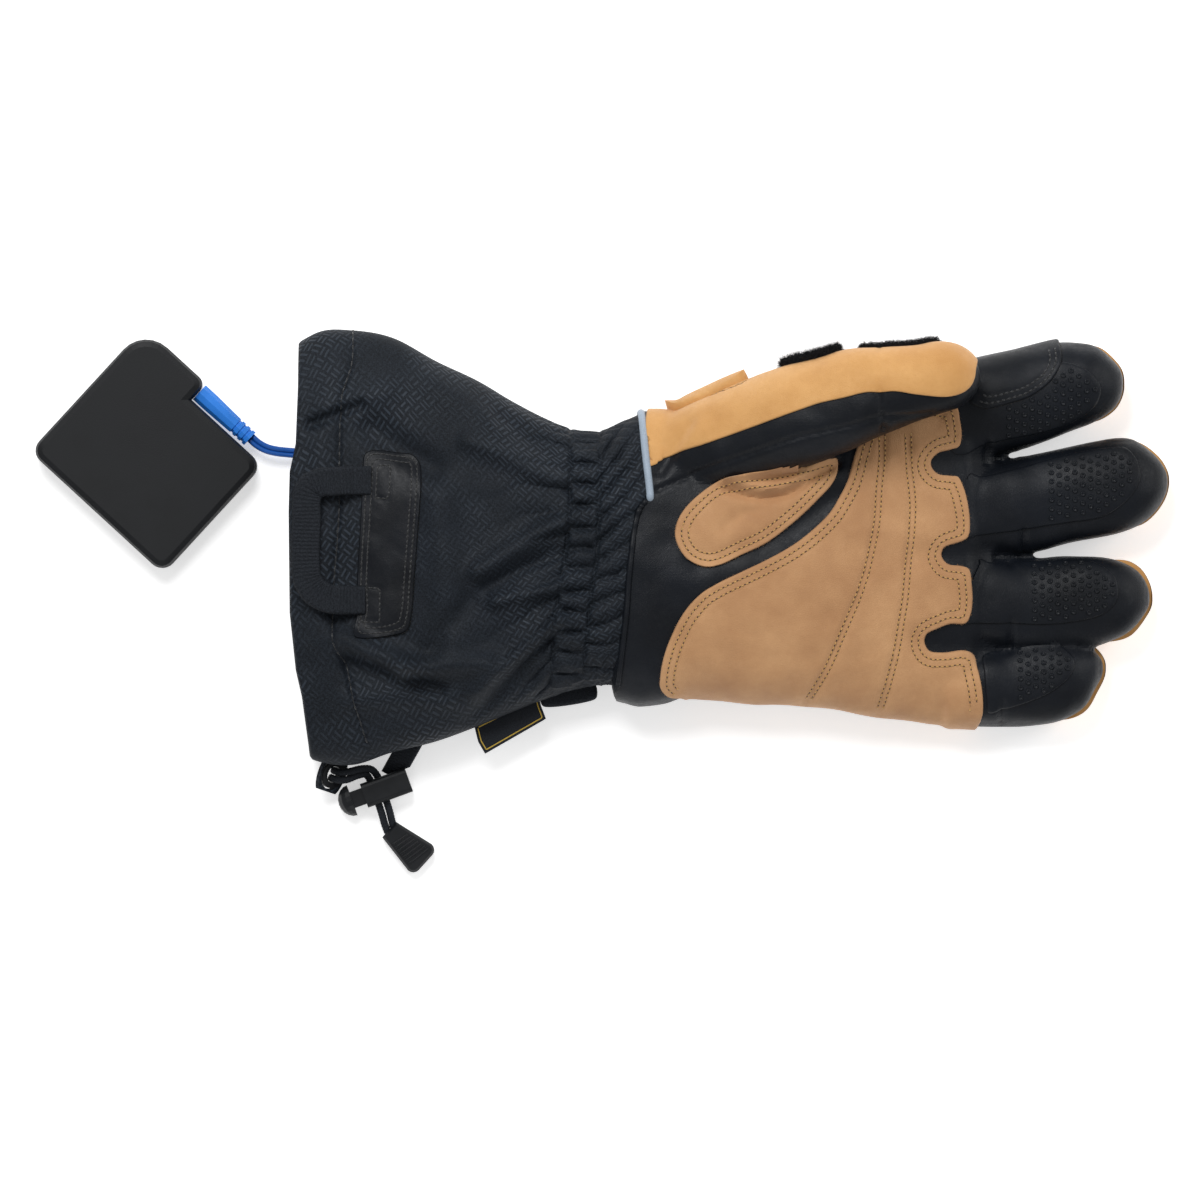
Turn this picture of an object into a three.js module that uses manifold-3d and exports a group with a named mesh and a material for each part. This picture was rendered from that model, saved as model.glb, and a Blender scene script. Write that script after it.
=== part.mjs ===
// Insulated left-hand gauntlet glove with a heating lead and a battery pack.
// It lies palm up on its back: +X to the fingertips, +Y to the thumb side, +Z up, millimetres.
// The origin lies on the flat of the back that the glove rests on, under the middle of the palm.

import * as THREE from 'three';
import { mergeVertices } from 'three/addons/utils/BufferGeometryUtils.js';
import Module from 'manifold-3d';

const wasm = await Module();
wasm.setup();

// Clearances
const GAP = 0.3;
const CLEAR = 0.6;

// Sleeve: from the hem to the wrist seam, and on to the finger roots
const WRIST = { x: -47, width: 90.4, height: 39 };
const GAUNTLET = { length: 119.5, hemWidth: 155.4, hemHeight: 35, wall: 2.6 };
const HAND = { length: 127.4, palmHeight: 39, knuckleHeight: 29, knuckleShift: 1.9, wall: 3 };
const SECTION = { fullness: 2.4, waist: 0.42, belly: 1.25 };

// Finger stalls, from the thumb's side outwards; drift is how far the tip leans to the thumb's side
const FINGER_WALL = 3;
const TIP_LIFT = 3;
const TIP_ROUND = 0.46;
const FINGERS = [
  { name: 'index', width: 38.6, tipWidth: 30.5, length: 49.6, thickness: 26, drift: 8 },
  { name: 'middle', width: 33.2, tipWidth: 33.5, length: 65.3, thickness: 26, drift: 8.6 },
  { name: 'ring', width: 33.2, tipWidth: 31.5, length: 58.6, thickness: 25, drift: 1.6 },
  { name: 'little', width: 28.8, tipWidth: 28.5, length: 42.1, thickness: 23, drift: 5 },
];

// Thumb stall
const THUMB = { length: 124, width: 36, thickness: 31, rise: 44.5, wall: 3, round: 0.15, start: 0.04 };

// Overlays: how thick each leather or cloth piece is
const PATCH_THICK = 1.3;
const PANEL_THICK = 1.0;
const PAD_THICK = 1.4;
const FUZZ_THICK = 1.6;
const PIPING = { width: 2.7, proud: 1.5 };

// Pull loop of webbing on the gauntlet; its bend is a share of the webbing's width
const WEBBING = { width: 10.4, thick: 1.8, lift: 3.4, bend: 0.75 };
const LOOP = { reach: 22, top: 0.308, bottom: -0.239, sewn: 4, ramp: 9 };

// Side label and wrist tab: place along the gauntlet, length, how far they stand out and reach in
const LABEL = { along: 0.36, length: 25, out: 9.5, inside: 8, thick: 0.9, height: 14 };
const WRIST_TAB = { along: 0.17, length: 20, out: 4.5, inside: 8, thick: 9, height: 9 };

// Hem drawcord, its eyelet and its lock
const DRAWCORD = { diameter: 2.5, sides: 8 };
const GROMMET = { outer: 5.2, inner: 3.1, thick: 2.4 };
const HEM_TAB = { length: 15, width: 12.6, thick: 1.8, rim: 0.9 };
const BARREL = { length: 17, width: 9, height: 9, wall: 1.2, corner: 1.6, end: 1.6 };
const PLUNGER = { shank: 14.6, headLength: 5, headWidth: 11.5, headHeight: 8.6, travel: 4, gap: 0.3 };
const CORD_END = { length: 16, width: 11, thick: 6, corner: 2, taper: 0.55, bevel: 1, rim: 0.8, lift: 0.1 };
const LOCK_WEBBING = { width: 8.5, barrelShare: 0.62, along: 0.63, inside: 6, height: 12, drop: 0.5 };

// Battery pack and plug
const BATTERY = { long: 64.7, wide: 60.6, thick: 14, round: 5, bigRound: 11, edge: 2.6 };
const NOTCH = { long: 34.7, deep: 7.9 };
const PLUG = { length: 24.5, radius: 3.6, endRadius: 2.7, collar: 7, rings: 3, step: 0.5 };
const LEAD = { width: 3.6, thick: 1.8, sides: 8, steps: 18 };

// Colours from the real materials
const COLOURS = {
  softshell: 0x22272f, knit: 0x20252c, tan: 0xbd8f63, tanBack: 0xdba96b, suede: 0x1c1d20,
  piping: 0x9eadbd, webbing: 0x191b1f, label: 0x17181a, plastic: 0x26282c, rubber: 0x1b1c1f,
  plug: 0x2f7fd6, lead: 0x1d57a8,
};

const knuckleWidth = FINGERS.reduce((sum, finger) => sum + finger.width, 0);
const knuckleHalf = knuckleWidth / 2;
const wristHalf = WRIST.width / 2;
const hemHalf = GAUNTLET.hemWidth / 2;
const knuckleX = WRIST.x + HAND.length;

// Sleeve sections from the wrist seam to the hem: share of the gauntlet's length, flare from the
// wrist's width to the hem's, sideways shift as a share of the hem's width, height from wrist to hem
const GAUNTLET_ROWS = [
  { along: -0.03, flare: 0.11, shift: -0.008, height: 0.0 },
  { along: 0.01, flare: 0.065, shift: -0.012, height: 0.0 },
  { along: 0.091, flare: 0.0, shift: -0.024, height: 0.05 },
  { along: 0.169, flare: 0.037, shift: -0.027, height: 0.1 },
  { along: 0.234, flare: 0.126, shift: -0.025, height: 0.0 },
  { along: 0.345, flare: 0.314, shift: -0.02, height: -0.3 },
  { along: 0.444, flare: 0.498, shift: -0.013, height: -0.4 },
  { along: 0.569, flare: 0.692, shift: -0.008, height: -0.3 },
  { along: 0.71, flare: 0.895, shift: 0.007, height: 0.0 },
  { along: 0.826, flare: 1.0, shift: 0.001, height: 0.5 },
  { along: 0.922, flare: 0.978, shift: 0.003, height: 0.8 },
  { along: 1.0, flare: 0.85, shift: -0.001, height: 1.0 },
];

// Hand sections from the wrist seam to the finger roots: share of the hand's length, swell from the
// wrist's width to the knuckles', shift as a share of the knuckles' half width, height of palm
const HAND_ROWS = [
  { along: -0.08, swell: 0.25, shift: -0.07, thin: -0.02 },
  { along: 0.0, swell: 0.3, shift: -0.075, thin: -0.03 },
  { along: 0.06, swell: 0.36, shift: -0.05, thin: -0.05 },
  { along: 0.167, swell: 0.406, shift: -0.011, thin: -0.05 },
  { along: 0.341, swell: 0.498, shift: 0.003, thin: 0.0 },
  { along: 0.582, swell: 0.655, shift: 0.008, thin: 0.25 },
  { along: 0.792, swell: 0.836, shift: 0.008, thin: 0.65 },
  { along: 1.0, swell: 1.0, shift: 0.015, thin: 1.0 },
];

// Finger sections: share of the length, width between root and tip, thickness, lift of the underside
const FINGER_ROWS = [
  { along: 0.0, taper: 0.0, thick: 1.0, lift: 0.0 },
  { along: 0.3, taper: 0.35, thick: 1.0, lift: 0.0 },
  { along: 0.6, taper: 0.9, thick: 0.94, lift: 0.4 },
  { along: 1.0, taper: 1.0, thick: 0.86, lift: 1.0 },
];

// Thumb sections: share of its length from the wrist seam, place across as a share of the knuckles'
// half width, height of the middle and half sizes as shares of the thumb's own
const THUMB_ROWS = [
  { along: 0.04, across: 0.45, rise: 0.45, width: 0.7, thick: 0.8 },
  { along: 0.2, across: 0.55, rise: 0.58, width: 0.98, thick: 1.08 },
  { along: 0.44, across: 0.69, rise: 0.82, width: 1.06, thick: 1.04 },
  { along: 0.65, across: 0.81, rise: 0.99, width: 0.99, thick: 0.92 },
  { along: 0.84, across: 0.883, rise: 1.01, width: 0.77, thick: 0.84 },
  { along: 0.94, across: 0.92, rise: 1.0, width: 0.7, thick: 0.78 },
  { along: 1.0, across: 0.94, rise: 0.99, width: 0.66, thick: 0.74 },
];

// Folds on the gauntlet: both ends as shares of its length and of half the hem's width, with height
// and half width as shares of the gauntlet's length
const FOLDS = [
  { fromAlong: 0.95, fromAcross: 0.6, toAlong: 0.8, toAcross: 0.64, high: 0.018, wide: 0.035 },
  { fromAlong: 0.8, fromAcross: 0.56, toAlong: 0.56, toAcross: 0.36, high: -0.014, wide: 0.05 },
  { fromAlong: 0.86, fromAcross: -0.43, toAlong: 0.44, toAcross: -0.55, high: 0.026, wide: 0.05 },
  { fromAlong: 0.8, fromAcross: -0.66, toAlong: 0.5, toAcross: -0.68, high: -0.016, wide: 0.04 },
  { fromAlong: 0.2, fromAcross: 0.13, toAlong: 0.46, toAcross: -0.1, high: 0.016, wide: 0.03 },
  { fromAlong: 0.2, fromAcross: -0.17, toAlong: 0.4, toAcross: -0.27, high: 0.014, wide: 0.03 },
  { fromAlong: 0.22, fromAcross: -0.33, toAlong: 0.46, toAcross: -0.62, high: 0.018, wide: 0.035 },
  { fromAlong: 0.2, fromAcross: 0.33, toAlong: 0.5, toAcross: 0.52, high: 0.014, wide: 0.035 },
  { fromAlong: 0.22, fromAcross: -0.5, toAlong: 0.42, toAcross: -0.78, high: 0.012, wide: 0.03 },
];
const GATHERS = { along: 0.13, band: 0.085, count: 12, depth: 0.011 };

// Wrist seam: shares of the hand's length and of the knuckles' half width, thumb's side first
const SEAM = [
  { along: 0.03, across: 1.3 },
  { along: 0.035, across: 0.775 },
  { along: 0.061, across: 0.287 },
  { along: 0.024, across: 0.206 },
  { along: -0.001, across: -0.087 },
  { along: -0.035, across: -0.824 },
  { along: -0.04, across: -1.3 },
];

// Outlines on the hand, in the seam's shares
const PALM_EDGE = [
  { along: 0.7, across: 0.62 },
  { along: 0.613, across: 0.369 },
  { along: 0.59, across: 0.276 },
  { along: 0.515, across: 0.098 },
  { along: 0.386, across: -0.065 },
  { along: 0.246, across: -0.195 },
  { along: 0.153, across: -0.352 },
  { along: 0.105, across: -0.53 },
  { along: 0.089, across: -0.73 },
  { along: 0.12, across: -0.8 },
  { along: 0.265, across: -0.829 },
  { along: 0.456, across: -0.851 },
  { along: 0.649, across: -0.905 },
  { along: 0.862, across: -0.945 },
  { along: 0.985, across: -0.955 },
];
const PALM_TOP = [
  { along: 0.93, across: 0.8 },
  { along: 0.9, across: 0.86 },
  { along: 0.74, across: 0.82 },
];
const NOTCHES = [
  { across: -0.52, depth: 0.15, half: 0.05, right: 0.97 },
  { across: -0.03, depth: 0.105, half: 0.055, right: 0.965 },
  { across: 0.46, depth: 0.125, half: 0.06, right: 0.935 },
];
const THENAR_EDGE = [
  { along: 0.133, across: 0.125 },
  { along: 0.153, across: -0.02 },
  { along: 0.218, across: -0.103 },
  { along: 0.316, across: -0.038 },
  { along: 0.47, across: 0.152 },
  { along: 0.565, across: 0.352 },
  { along: 0.585, across: 0.46 },
  { along: 0.501, across: 0.439 },
  { along: 0.316, across: 0.379 },
  { along: 0.201, across: 0.293 },
];
const THUMB_PANEL_EDGE = [
  { along: 0.03, across: 1.0 },
  { along: 0.045, across: 0.444 },
  { along: 0.181, across: 0.537 },
  { along: 0.338, across: 0.645 },
  { along: 0.478, across: 0.743 },
  { along: 0.602, across: 0.808 },
  { along: 0.739, across: 0.84 },
  { along: 0.876, across: 0.813 },
  { along: 0.952, across: 0.856 },
  { along: 1.02, across: 0.95 },
  { along: 1.0, across: 1.3 },
  { along: 0.5, across: 1.3 },
  { along: 0.1, across: 1.2 },
];
const SIDE_PAD_EDGE = [
  { along: 0.125, across: 0.765 },
  { along: 0.209, across: 0.797 },
  { along: 0.335, across: 0.885 },
  { along: 0.345, across: 1.2 },
  { along: 0.13, across: 1.2 },
];
const TERRY_EDGE = [
  { along: 0.433, across: 0.985 },
  { along: 0.53, across: 1.03 },
  { along: 0.605, across: 1.04 },
  { along: 0.6, across: 1.4 },
  { along: 0.43, across: 1.4 },
];
const SUEDE_EDGE = [
  { along: 0.65, across: 1.055 },
  { along: 0.74, across: 1.06 },
  { along: 0.86, across: 1.06 },
  { along: 0.87, across: 1.4 },
  { along: 0.645, across: 1.4 },
];

// Strap patch on the gauntlet: shares of its length and of half the hem's width
const STRAP_PATCH_EDGE = [
  { along: 0.784, across: 0.437 },
  { along: 0.683, across: 0.441 },
  { along: 0.633, across: 0.41 },
  { along: 0.617, across: 0.322 },
  { along: 0.626, across: 0.078 },
  { along: 0.645, across: -0.3 },
  { along: 0.66, across: -0.375 },
  { along: 0.698, across: -0.4 },
  { along: 0.814, across: -0.4 },
  { along: 0.805, across: -0.156 },
];

// Front panel of a fingertip: shares of the finger's length and of its tip's width
const TIP_PAD_EDGE = [
  { along: 0.06, across: -0.31 },
  { along: 0.6, across: -0.31 },
  { along: 0.8, across: -0.124 },
  { along: 0.8, across: 0.155 },
  { along: 0.6, across: 0.31 },
  { along: 0.06, across: 0.31 },
];

// Patch on the index stall and tan back of a fingertip: shares of the finger's length and width
const INDEX_PATCH_EDGE = [
  { along: 0.017, across: 0.575 },
  { along: 0.022, across: 0.16 },
  { along: 0.138, across: 0.125 },
  { along: 0.303, across: 0.2 },
  { along: 0.44, across: 0.31 },
  { along: 0.512, across: 0.475 },
  { along: 0.495, across: 0.7 },
  { along: 0.22, across: 0.9 },
];
const BACK_CAP_EDGE = [
  { along: 0.55, across: -1 },
  { along: 1.55, across: -1 },
  { along: 1.55, across: 2 },
  { along: 0.85, across: 2 },
  { along: 0.67, across: 0 },
];
const BACK_CAP_RISE = 0.45;

// A lying tube's section: full at the top, flat where it rests
function lyingSection(section, grow, angles) {
  const { x, middle, half, top } = section;
  const floor = Math.max(0, -grow);
  const waist = SECTION.waist * top;
  const power = 2 / SECTION.fullness;
  return angles.map((angle) => {
    const side = Math.sign(Math.cos(angle)) * Math.abs(Math.cos(angle)) ** power;
    const rise = Math.abs(Math.sin(angle)) ** power;
    const below = waist - (waist + grow) * rise * SECTION.belly;
    const above = waist + (top + grow - waist) * rise;
    const z = Math.sin(angle) >= 0 ? above : Math.max(floor, below);
    return new THREE.Vector3(x, middle + (half + grow) * side, z);
  });
}

// Angles round a section, close together on top, where the folds are
function sectionAngles(above, below) {
  const angles = [];
  for (let i = 0; i < above; i += 1) angles.push((Math.PI * i) / above);
  for (let i = 0; i < below; i += 1) angles.push(Math.PI + (Math.PI * i) / below);
  return angles;
}

// A column of a table at any place, with smooth slopes through its rows
function readTable(rows, column, at) {
  const last = rows.length - 1;
  let i = rows.findIndex((row) => row.along > at) - 1;
  if (i < 0) i = at <= rows[0].along ? 0 : last - 1;
  const slope = (k) => {
    const a = rows[Math.max(0, k - 1)];
    const b = rows[Math.min(last, k + 1)];
    return (b[column] - a[column]) / (b.along - a.along);
  };
  const span = rows[i + 1].along - rows[i].along;
  const t = THREE.MathUtils.clamp((at - rows[i].along) / span, 0, 1);
  const rise = rows[i + 1][column] - rows[i][column];
  const ease = t * t * (3 - 2 * t);
  const bend = t * (1 - t) * ((1 - t) * (slope(i) * span) - t * (slope(i + 1) * span));
  return rows[i][column] + rise * ease + bend;
}

function closedMesh(positions, triangles) {
  const geometry = new THREE.BufferGeometry();
  geometry.setAttribute('position', new THREE.Float32BufferAttribute(positions, 3));
  geometry.setIndex(triangles);
  return geometry;
}

// Skin through rings of equal count, closed by a fan at each end
function loftGeometry(rings) {
  const count = rings[0].length;
  const positions = rings.flat().flatMap((p) => [p.x, p.y, p.z]);
  const triangles = [];
  for (let r = 0; r < rings.length - 1; r += 1) {
    for (let k = 0; k < count; k += 1) {
      const a = r * count + k;
      const b = r * count + ((k + 1) % count);
      triangles.push(a, b, a + count, b, b + count, a + count);
    }
  }
  [0, rings.length - 1].forEach((r) => {
    const centre = new THREE.Vector3();
    rings[r].forEach((p) => centre.add(p));
    centre.divideScalar(count);
    const hub = positions.length / 3;
    positions.push(centre.x, centre.y, centre.z);
    for (let k = 0; k < count; k += 1) {
      const a = r * count + k;
      const b = r * count + ((k + 1) % count);
      if (r === 0) triangles.push(hub, b, a);
      else triangles.push(hub, a, b);
    }
  });
  return closedMesh(positions, triangles);
}

function toSolid(geometry) {
  const bare = geometry.clone();
  bare.deleteAttribute('normal');
  bare.deleteAttribute('uv');
  const merged = mergeVertices(bare, 1e-4);
  const vertProperties = new Float32Array(merged.attributes.position.array);
  const triVerts = new Uint32Array(merged.index.array);
  const solid = new wasm.Manifold(new wasm.Mesh({ numProp: 3, vertProperties, triVerts }));
  if (solid.volume() >= 0) return solid;
  for (let i = 0; i < triVerts.length; i += 3) {
    [triVerts[i + 1], triVerts[i + 2]] = [triVerts[i + 2], triVerts[i + 1]];
  }
  return new wasm.Manifold(new wasm.Mesh({ numProp: 3, vertProperties, triVerts }));
}

function toGeometry(solid) {
  const mesh = solid.getMesh();
  const geometry = closedMesh(Array.from(mesh.vertProperties), Array.from(mesh.triVerts));
  geometry.computeVertexNormals();
  return geometry;
}

const loft = (rings) => toSolid(loftGeometry(rings));

// The main body of a solid that a cut has left with loose slivers
function largest(solid) {
  return solid.decompose().reduce((most, piece) => (piece.volume() > most.volume() ? piece : most));
}

// Upright prism over a flat outline
function prism(points, low, high) {
  const geometry = new THREE.ExtrudeGeometry(new THREE.Shape(points), {
    depth: high - low,
    bevelEnabled: false,
  });
  geometry.translate(0, 0, low);
  return toSolid(geometry);
}

const onHand = ({ along, across }) => new THREE.Vector2(
  WRIST.x + along * HAND.length,
  across * knuckleHalf,
);
const onCuff = ({ along, across }) => new THREE.Vector2(
  WRIST.x - along * GAUNTLET.length,
  across * hemHalf,
);

// Closed smooth outline through a few points
function smoothOutline(points, count) {
  const curve = new THREE.CatmullRomCurve3(
    points.map((p) => new THREE.Vector3(p.x, p.y, 0)),
    true,
    'centripetal',
  );
  return curve.getPoints(count).slice(0, -1).map((p) => new THREE.Vector2(p.x, p.y));
}

// Gauntlet
function gauntletSection(along) {
  const flare = readTable(GAUNTLET_ROWS, 'flare', along);
  return {
    x: WRIST.x - along * GAUNTLET.length,
    middle: readTable(GAUNTLET_ROWS, 'shift', along) * GAUNTLET.hemWidth,
    half: wristHalf + flare * (hemHalf - wristHalf),
    top: WRIST.height + readTable(GAUNTLET_ROWS, 'height', along) * (GAUNTLET.hemHeight - WRIST.height),
  };
}

// Height of folds and gathers above the plain gauntlet
function gauntletRelief(x, y) {
  const p = new THREE.Vector2(x, y);
  let relief = 0;
  FOLDS.forEach((fold) => {
    const from = onCuff({ along: fold.fromAlong, across: fold.fromAcross });
    const to = onCuff({ along: fold.toAlong, across: fold.toAcross });
    const line = to.clone().sub(from);
    const t = THREE.MathUtils.clamp(p.clone().sub(from).dot(line) / line.lengthSq(), 0, 1);
    const away = p.distanceTo(from.clone().addScaledVector(line, t)) / (fold.wide * GAUNTLET.length);
    relief += fold.high * GAUNTLET.length * Math.exp(-away * away);
  });
  return relief;
}

function gatherRelief(x, y) {
  const along = (WRIST.x - x) / GAUNTLET.length;
  const away = (along - GATHERS.along) / GATHERS.band;
  const wave = Math.cos((GATHERS.count * 2 * Math.PI * (y + hemHalf)) / WRIST.width);
  return GATHERS.depth * GAUNTLET.length * wave * Math.exp(-away * away);
}

function gauntletForm(grow, stations, angles, gathered) {
  return loft(stations.map((along) => {
    const section = gauntletSection(along);
    return lyingSection(section, grow, angles).map((p, k) => {
      const topness = Math.max(0, Math.sin(angles[k]));
      let relief = gauntletRelief(p.x, p.y);
      if (gathered) relief += gatherRelief(p.x, p.y);
      p.z += relief * Math.sqrt(topness);
      return p;
    });
  }));
}

const stationsBetween = (from, to, count) => (
  Array.from({ length: count + 1 }, (_, i) => from + ((to - from) * i) / count)
);
const GATHER_STATIONS = [-0.03, 0.04, 0.08, 0.13, 0.18, 0.22, 0.28];
const FLARE_STATIONS = [0.35, 0.42, 0.49, 0.56, 0.64, 0.72, 0.8, 0.88, 0.94, 1.0];
const GAUNTLET_STATIONS = [...GATHER_STATIONS, ...FLARE_STATIONS];
const GAUNTLET_ANGLES = sectionAngles(40, 8);

function seamSide(sign) {
  const points = SEAM.map((row) => onHand(row).add(new THREE.Vector2((sign * GAP) / 2, 0)));
  const far = sign * (HAND.length + GAUNTLET.length) * 2;
  const outline = [
    ...points,
    new THREE.Vector2(far, points.at(-1).y),
    new THREE.Vector2(far, points[0].y),
  ];
  const tall = WRIST.height + THUMB.rise + THUMB.thickness;
  return prism(outline, -tall, 2 * tall);
}

function makeGauntlet() {
  const outer = gauntletForm(0, GAUNTLET_STATIONS, GAUNTLET_ANGLES, true);
  const innerStations = [-0.1, 0.02, 0.13, 0.25, 0.4, 0.58, 0.74, 0.88, 1.05];
  const inner = gauntletForm(-GAUNTLET.wall, innerStations, sectionAngles(16, 8), false);
  return outer.subtract(inner).intersect(seamSide(-1));
}

// Hand
function handSection(along) {
  const swell = readTable(HAND_ROWS, 'swell', along);
  const thin = readTable(HAND_ROWS, 'thin', along);
  const shift = readTable(HAND_ROWS, 'shift', along) * knuckleHalf;
  return {
    x: WRIST.x + along * HAND.length,
    middle: shift + HAND.knuckleShift * Math.max(0, along),
    half: wristHalf + swell * (knuckleHalf - wristHalf),
    top: HAND.palmHeight + thin * (HAND.knuckleHeight - HAND.palmHeight),
  };
}

function handForm(grow, stations, angles) {
  return loft(stations.map((along) => lyingSection(handSection(along), grow, angles)));
}

const HAND_STATIONS = stationsBetween(-0.08, 1, 9);
const HAND_ANGLES = sectionAngles(20, 6);

// Fingers
function fingerRoots() {
  const edge = knuckleHalf + handSection(1).middle;
  let used = 0;
  return FINGERS.map((finger) => {
    const centre = edge - used - finger.width / 2;
    used += finger.width;
    return { ...finger, centre };
  });
}

// How far along its drift a finger has leaned
const leaning = (at) => at * at * (3 - 2 * at);

// Round closing of a finger's end, from full size to a point
function tipClosing(along, roundShare) {
  const past = Math.max(0, (along - (1 - roundShare)) / roundShare);
  return Math.sqrt(Math.max(0, 1 - past * past));
}

function fingerForm(finger, grow, sides, back) {
  const roundShare = (TIP_ROUND * finger.tipWidth) / finger.length;
  const body = stationsBetween(0, 1 - roundShare, 4);
  const round = [0.45, 0.75, 0.92, 0.985].map((share) => 1 - roundShare * (1 - share));
  const stations = [-back / finger.length, ...body, ...round];
  const angles = sectionAngles(sides / 2, sides / 2);
  const power = 2 / SECTION.fullness;
  const rings = stations.map((along) => {
    const at = Math.max(0, along);
    const closing = tipClosing(at, roundShare);
    const taper = readTable(FINGER_ROWS, 'taper', at);
    const width = THREE.MathUtils.lerp(finger.width - GAP, finger.tipWidth, taper);
    const half = Math.max(0, (width / 2 + grow) * closing);
    const thick = finger.thickness * readTable(FINGER_ROWS, 'thick', at);
    const high = Math.max(0, (thick / 2 + grow) * closing);
    const middle = thick / 2 + readTable(FINGER_ROWS, 'lift', at) * TIP_LIFT;
    const reach = along * (finger.length + grow);
    const y = finger.centre + finger.drift * leaning(at);
    return angles.map((angle) => {
      const across = Math.sign(Math.cos(angle)) * Math.abs(Math.cos(angle)) ** power;
      const up = Math.sign(Math.sin(angle)) * Math.abs(Math.sin(angle)) ** power;
      const z = Math.max(Math.max(0, -grow), middle + high * up);
      return new THREE.Vector3(knuckleX + reach, y + half * across, z);
    });
  });
  return loft(rings);
}

// Thumb
function thumbForm(grow, sides, startAlong) {
  const body = [startAlong, 0.12, 0.22, 0.34, 0.46, 0.58, 0.7, 1 - THUMB.round];
  const round = [0.4, 0.7, 0.9, 0.98].map((share) => 1 - THUMB.round * (1 - share));
  const angles = sectionAngles(sides / 2, sides / 2);
  const rings = [...body, ...round].map((along) => {
    const closing = tipClosing(along, THUMB.round);
    const half = (THUMB.width / 2) * readTable(THUMB_ROWS, 'width', along) + grow;
    const high = (THUMB.thickness / 2) * readTable(THUMB_ROWS, 'thick', along) + grow;
    const y = readTable(THUMB_ROWS, 'across', along) * knuckleHalf;
    const z = readTable(THUMB_ROWS, 'rise', along) * THUMB.rise;
    const x = WRIST.x + along * (THUMB.length + grow);
    return angles.map((angle) => new THREE.Vector3(
      x,
      y + half * closing * Math.cos(angle),
      z + high * closing * Math.sin(angle),
    ));
  });
  return loft(rings);
}

const palmUp = (points) => prism(points, SECTION.waist * HAND.knuckleHeight, 3 * THUMB.rise);

// A thin piece that follows a form, between two offsets of it, inside an outline
function overlay(form, outline, lift, thick) {
  return form(lift + thick).subtract(form(lift)).intersect(palmUp(outline));
}

const hand = (grow) => handForm(grow, HAND_STATIONS, HAND_ANGLES);
const thumb = (grow) => thumbForm(grow, 14, THUMB.start);
const fingers = fingerRoots();
const fingerOuter = (finger, grow) => fingerForm(finger, grow, 14, 0);
const fingerInner = (finger) => fingerForm(finger, -FINGER_WALL, 12, 4 * HAND.wall);

// Everything past the finger roots, or before them
function rootSide(sign, gap) {
  const box = new THREE.BoxGeometry(4 * HAND.length, 6 * knuckleHalf, 6 * THUMB.rise);
  box.translate(knuckleX + sign * (2 * HAND.length + gap), 0, 0);
  return toSolid(box);
}

function makeHand() {
  const stations = stationsBetween(-0.12, 1 - HAND.wall / HAND.length, 6);
  let shell = hand(0).subtract(handForm(-HAND.wall, stations, sectionAngles(14, 6)));
  fingers.forEach((finger) => {
    shell = shell.subtract(fingerInner(finger));
  });
  shell = shell.subtract(thumbForm(-THUMB.wall, 12, 0.1));
  return shell.intersect(seamSide(1)).intersect(rootSide(-1, -GAP / 2));
}

function makeFingers() {
  return fingers.map((finger, i) => {
    let stall = fingerOuter(finger, 0).subtract(fingerInner(finger)).intersect(rootSide(1, GAP / 2));
    const next = fingers[i + 1];
    if (next) stall = stall.subtract(fingerOuter(next, GAP));
    return stall;
  });
}

function makeThumb() {
  return thumb(0).subtract(thumbForm(-THUMB.wall, 12, THUMB.start)).subtract(hand(GAP));
}

// Palm patch, with keyhole notches below the finger crotches
function palmOutline() {
  const points = PALM_EDGE.map(onHand);
  NOTCHES.forEach((notch) => {
    const left = notch.right - notch.depth;
    const round = (notch.half * knuckleHalf) / HAND.length;
    const at = (along, across) => points.push(onHand({ along, across: notch.across + across }));
    at(notch.right, -3 * notch.half);
    at(notch.right - 0.25 * notch.depth, -1.2 * notch.half);
    at(left + round, -notch.half);
    at(left + 0.3 * round, -0.7 * notch.half);
    at(left, 0);
    at(left + 0.3 * round, 0.7 * notch.half);
    at(left + round, notch.half);
    at(notch.right - 0.25 * notch.depth, 1.2 * notch.half);
    at(notch.right, 3 * notch.half);
  });
  return [...points, ...PALM_TOP.map(onHand)];
}

// Strip beside the upper part of the wrist seam
function seamStrip(from, to, seam) {
  const line = seam.map(onHand);
  const moved = (by) => line.map((p) => new THREE.Vector2(p.x + by, p.y));
  return [...moved(from), ...moved(to).reverse()];
}

// Front panel of a fingertip, following the stall
function tipPad(finger) {
  const outline = smoothOutline(TIP_PAD_EDGE.map(({ along, across }) => new THREE.Vector2(
    knuckleX + along * finger.length,
    finger.centre + finger.drift * leaning(along) + across * finger.tipWidth,
  )), 18);
  return overlay((grow) => fingerOuter(finger, grow), outline, GAP, PANEL_THICK);
}

const onFinger = (finger) => ({ along, across }) => new THREE.Vector2(
  knuckleX + along * finger.length,
  finger.centre + across * finger.width,
);

function indexOverlay(finger) {
  const outline = INDEX_PATCH_EDGE.map(onFinger(finger));
  return overlay((grow) => fingerOuter(finger, grow), outline, GAP, PATCH_THICK);
}

// Tan panel round the back of a fingertip
function backCap(finger) {
  const shell = fingerOuter(finger, GAP + PANEL_THICK).subtract(fingerOuter(finger, GAP));
  const outline = BACK_CAP_EDGE.map(onFinger(finger));
  let cap = shell.intersect(prism(outline, 0, BACK_CAP_RISE * finger.thickness));
  fingers.filter((other) => other !== finger).forEach((other) => {
    cap = cap.subtract(fingerOuter(other, 2 * GAP + PANEL_THICK));
  });
  return largest(cap);
}

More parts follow.
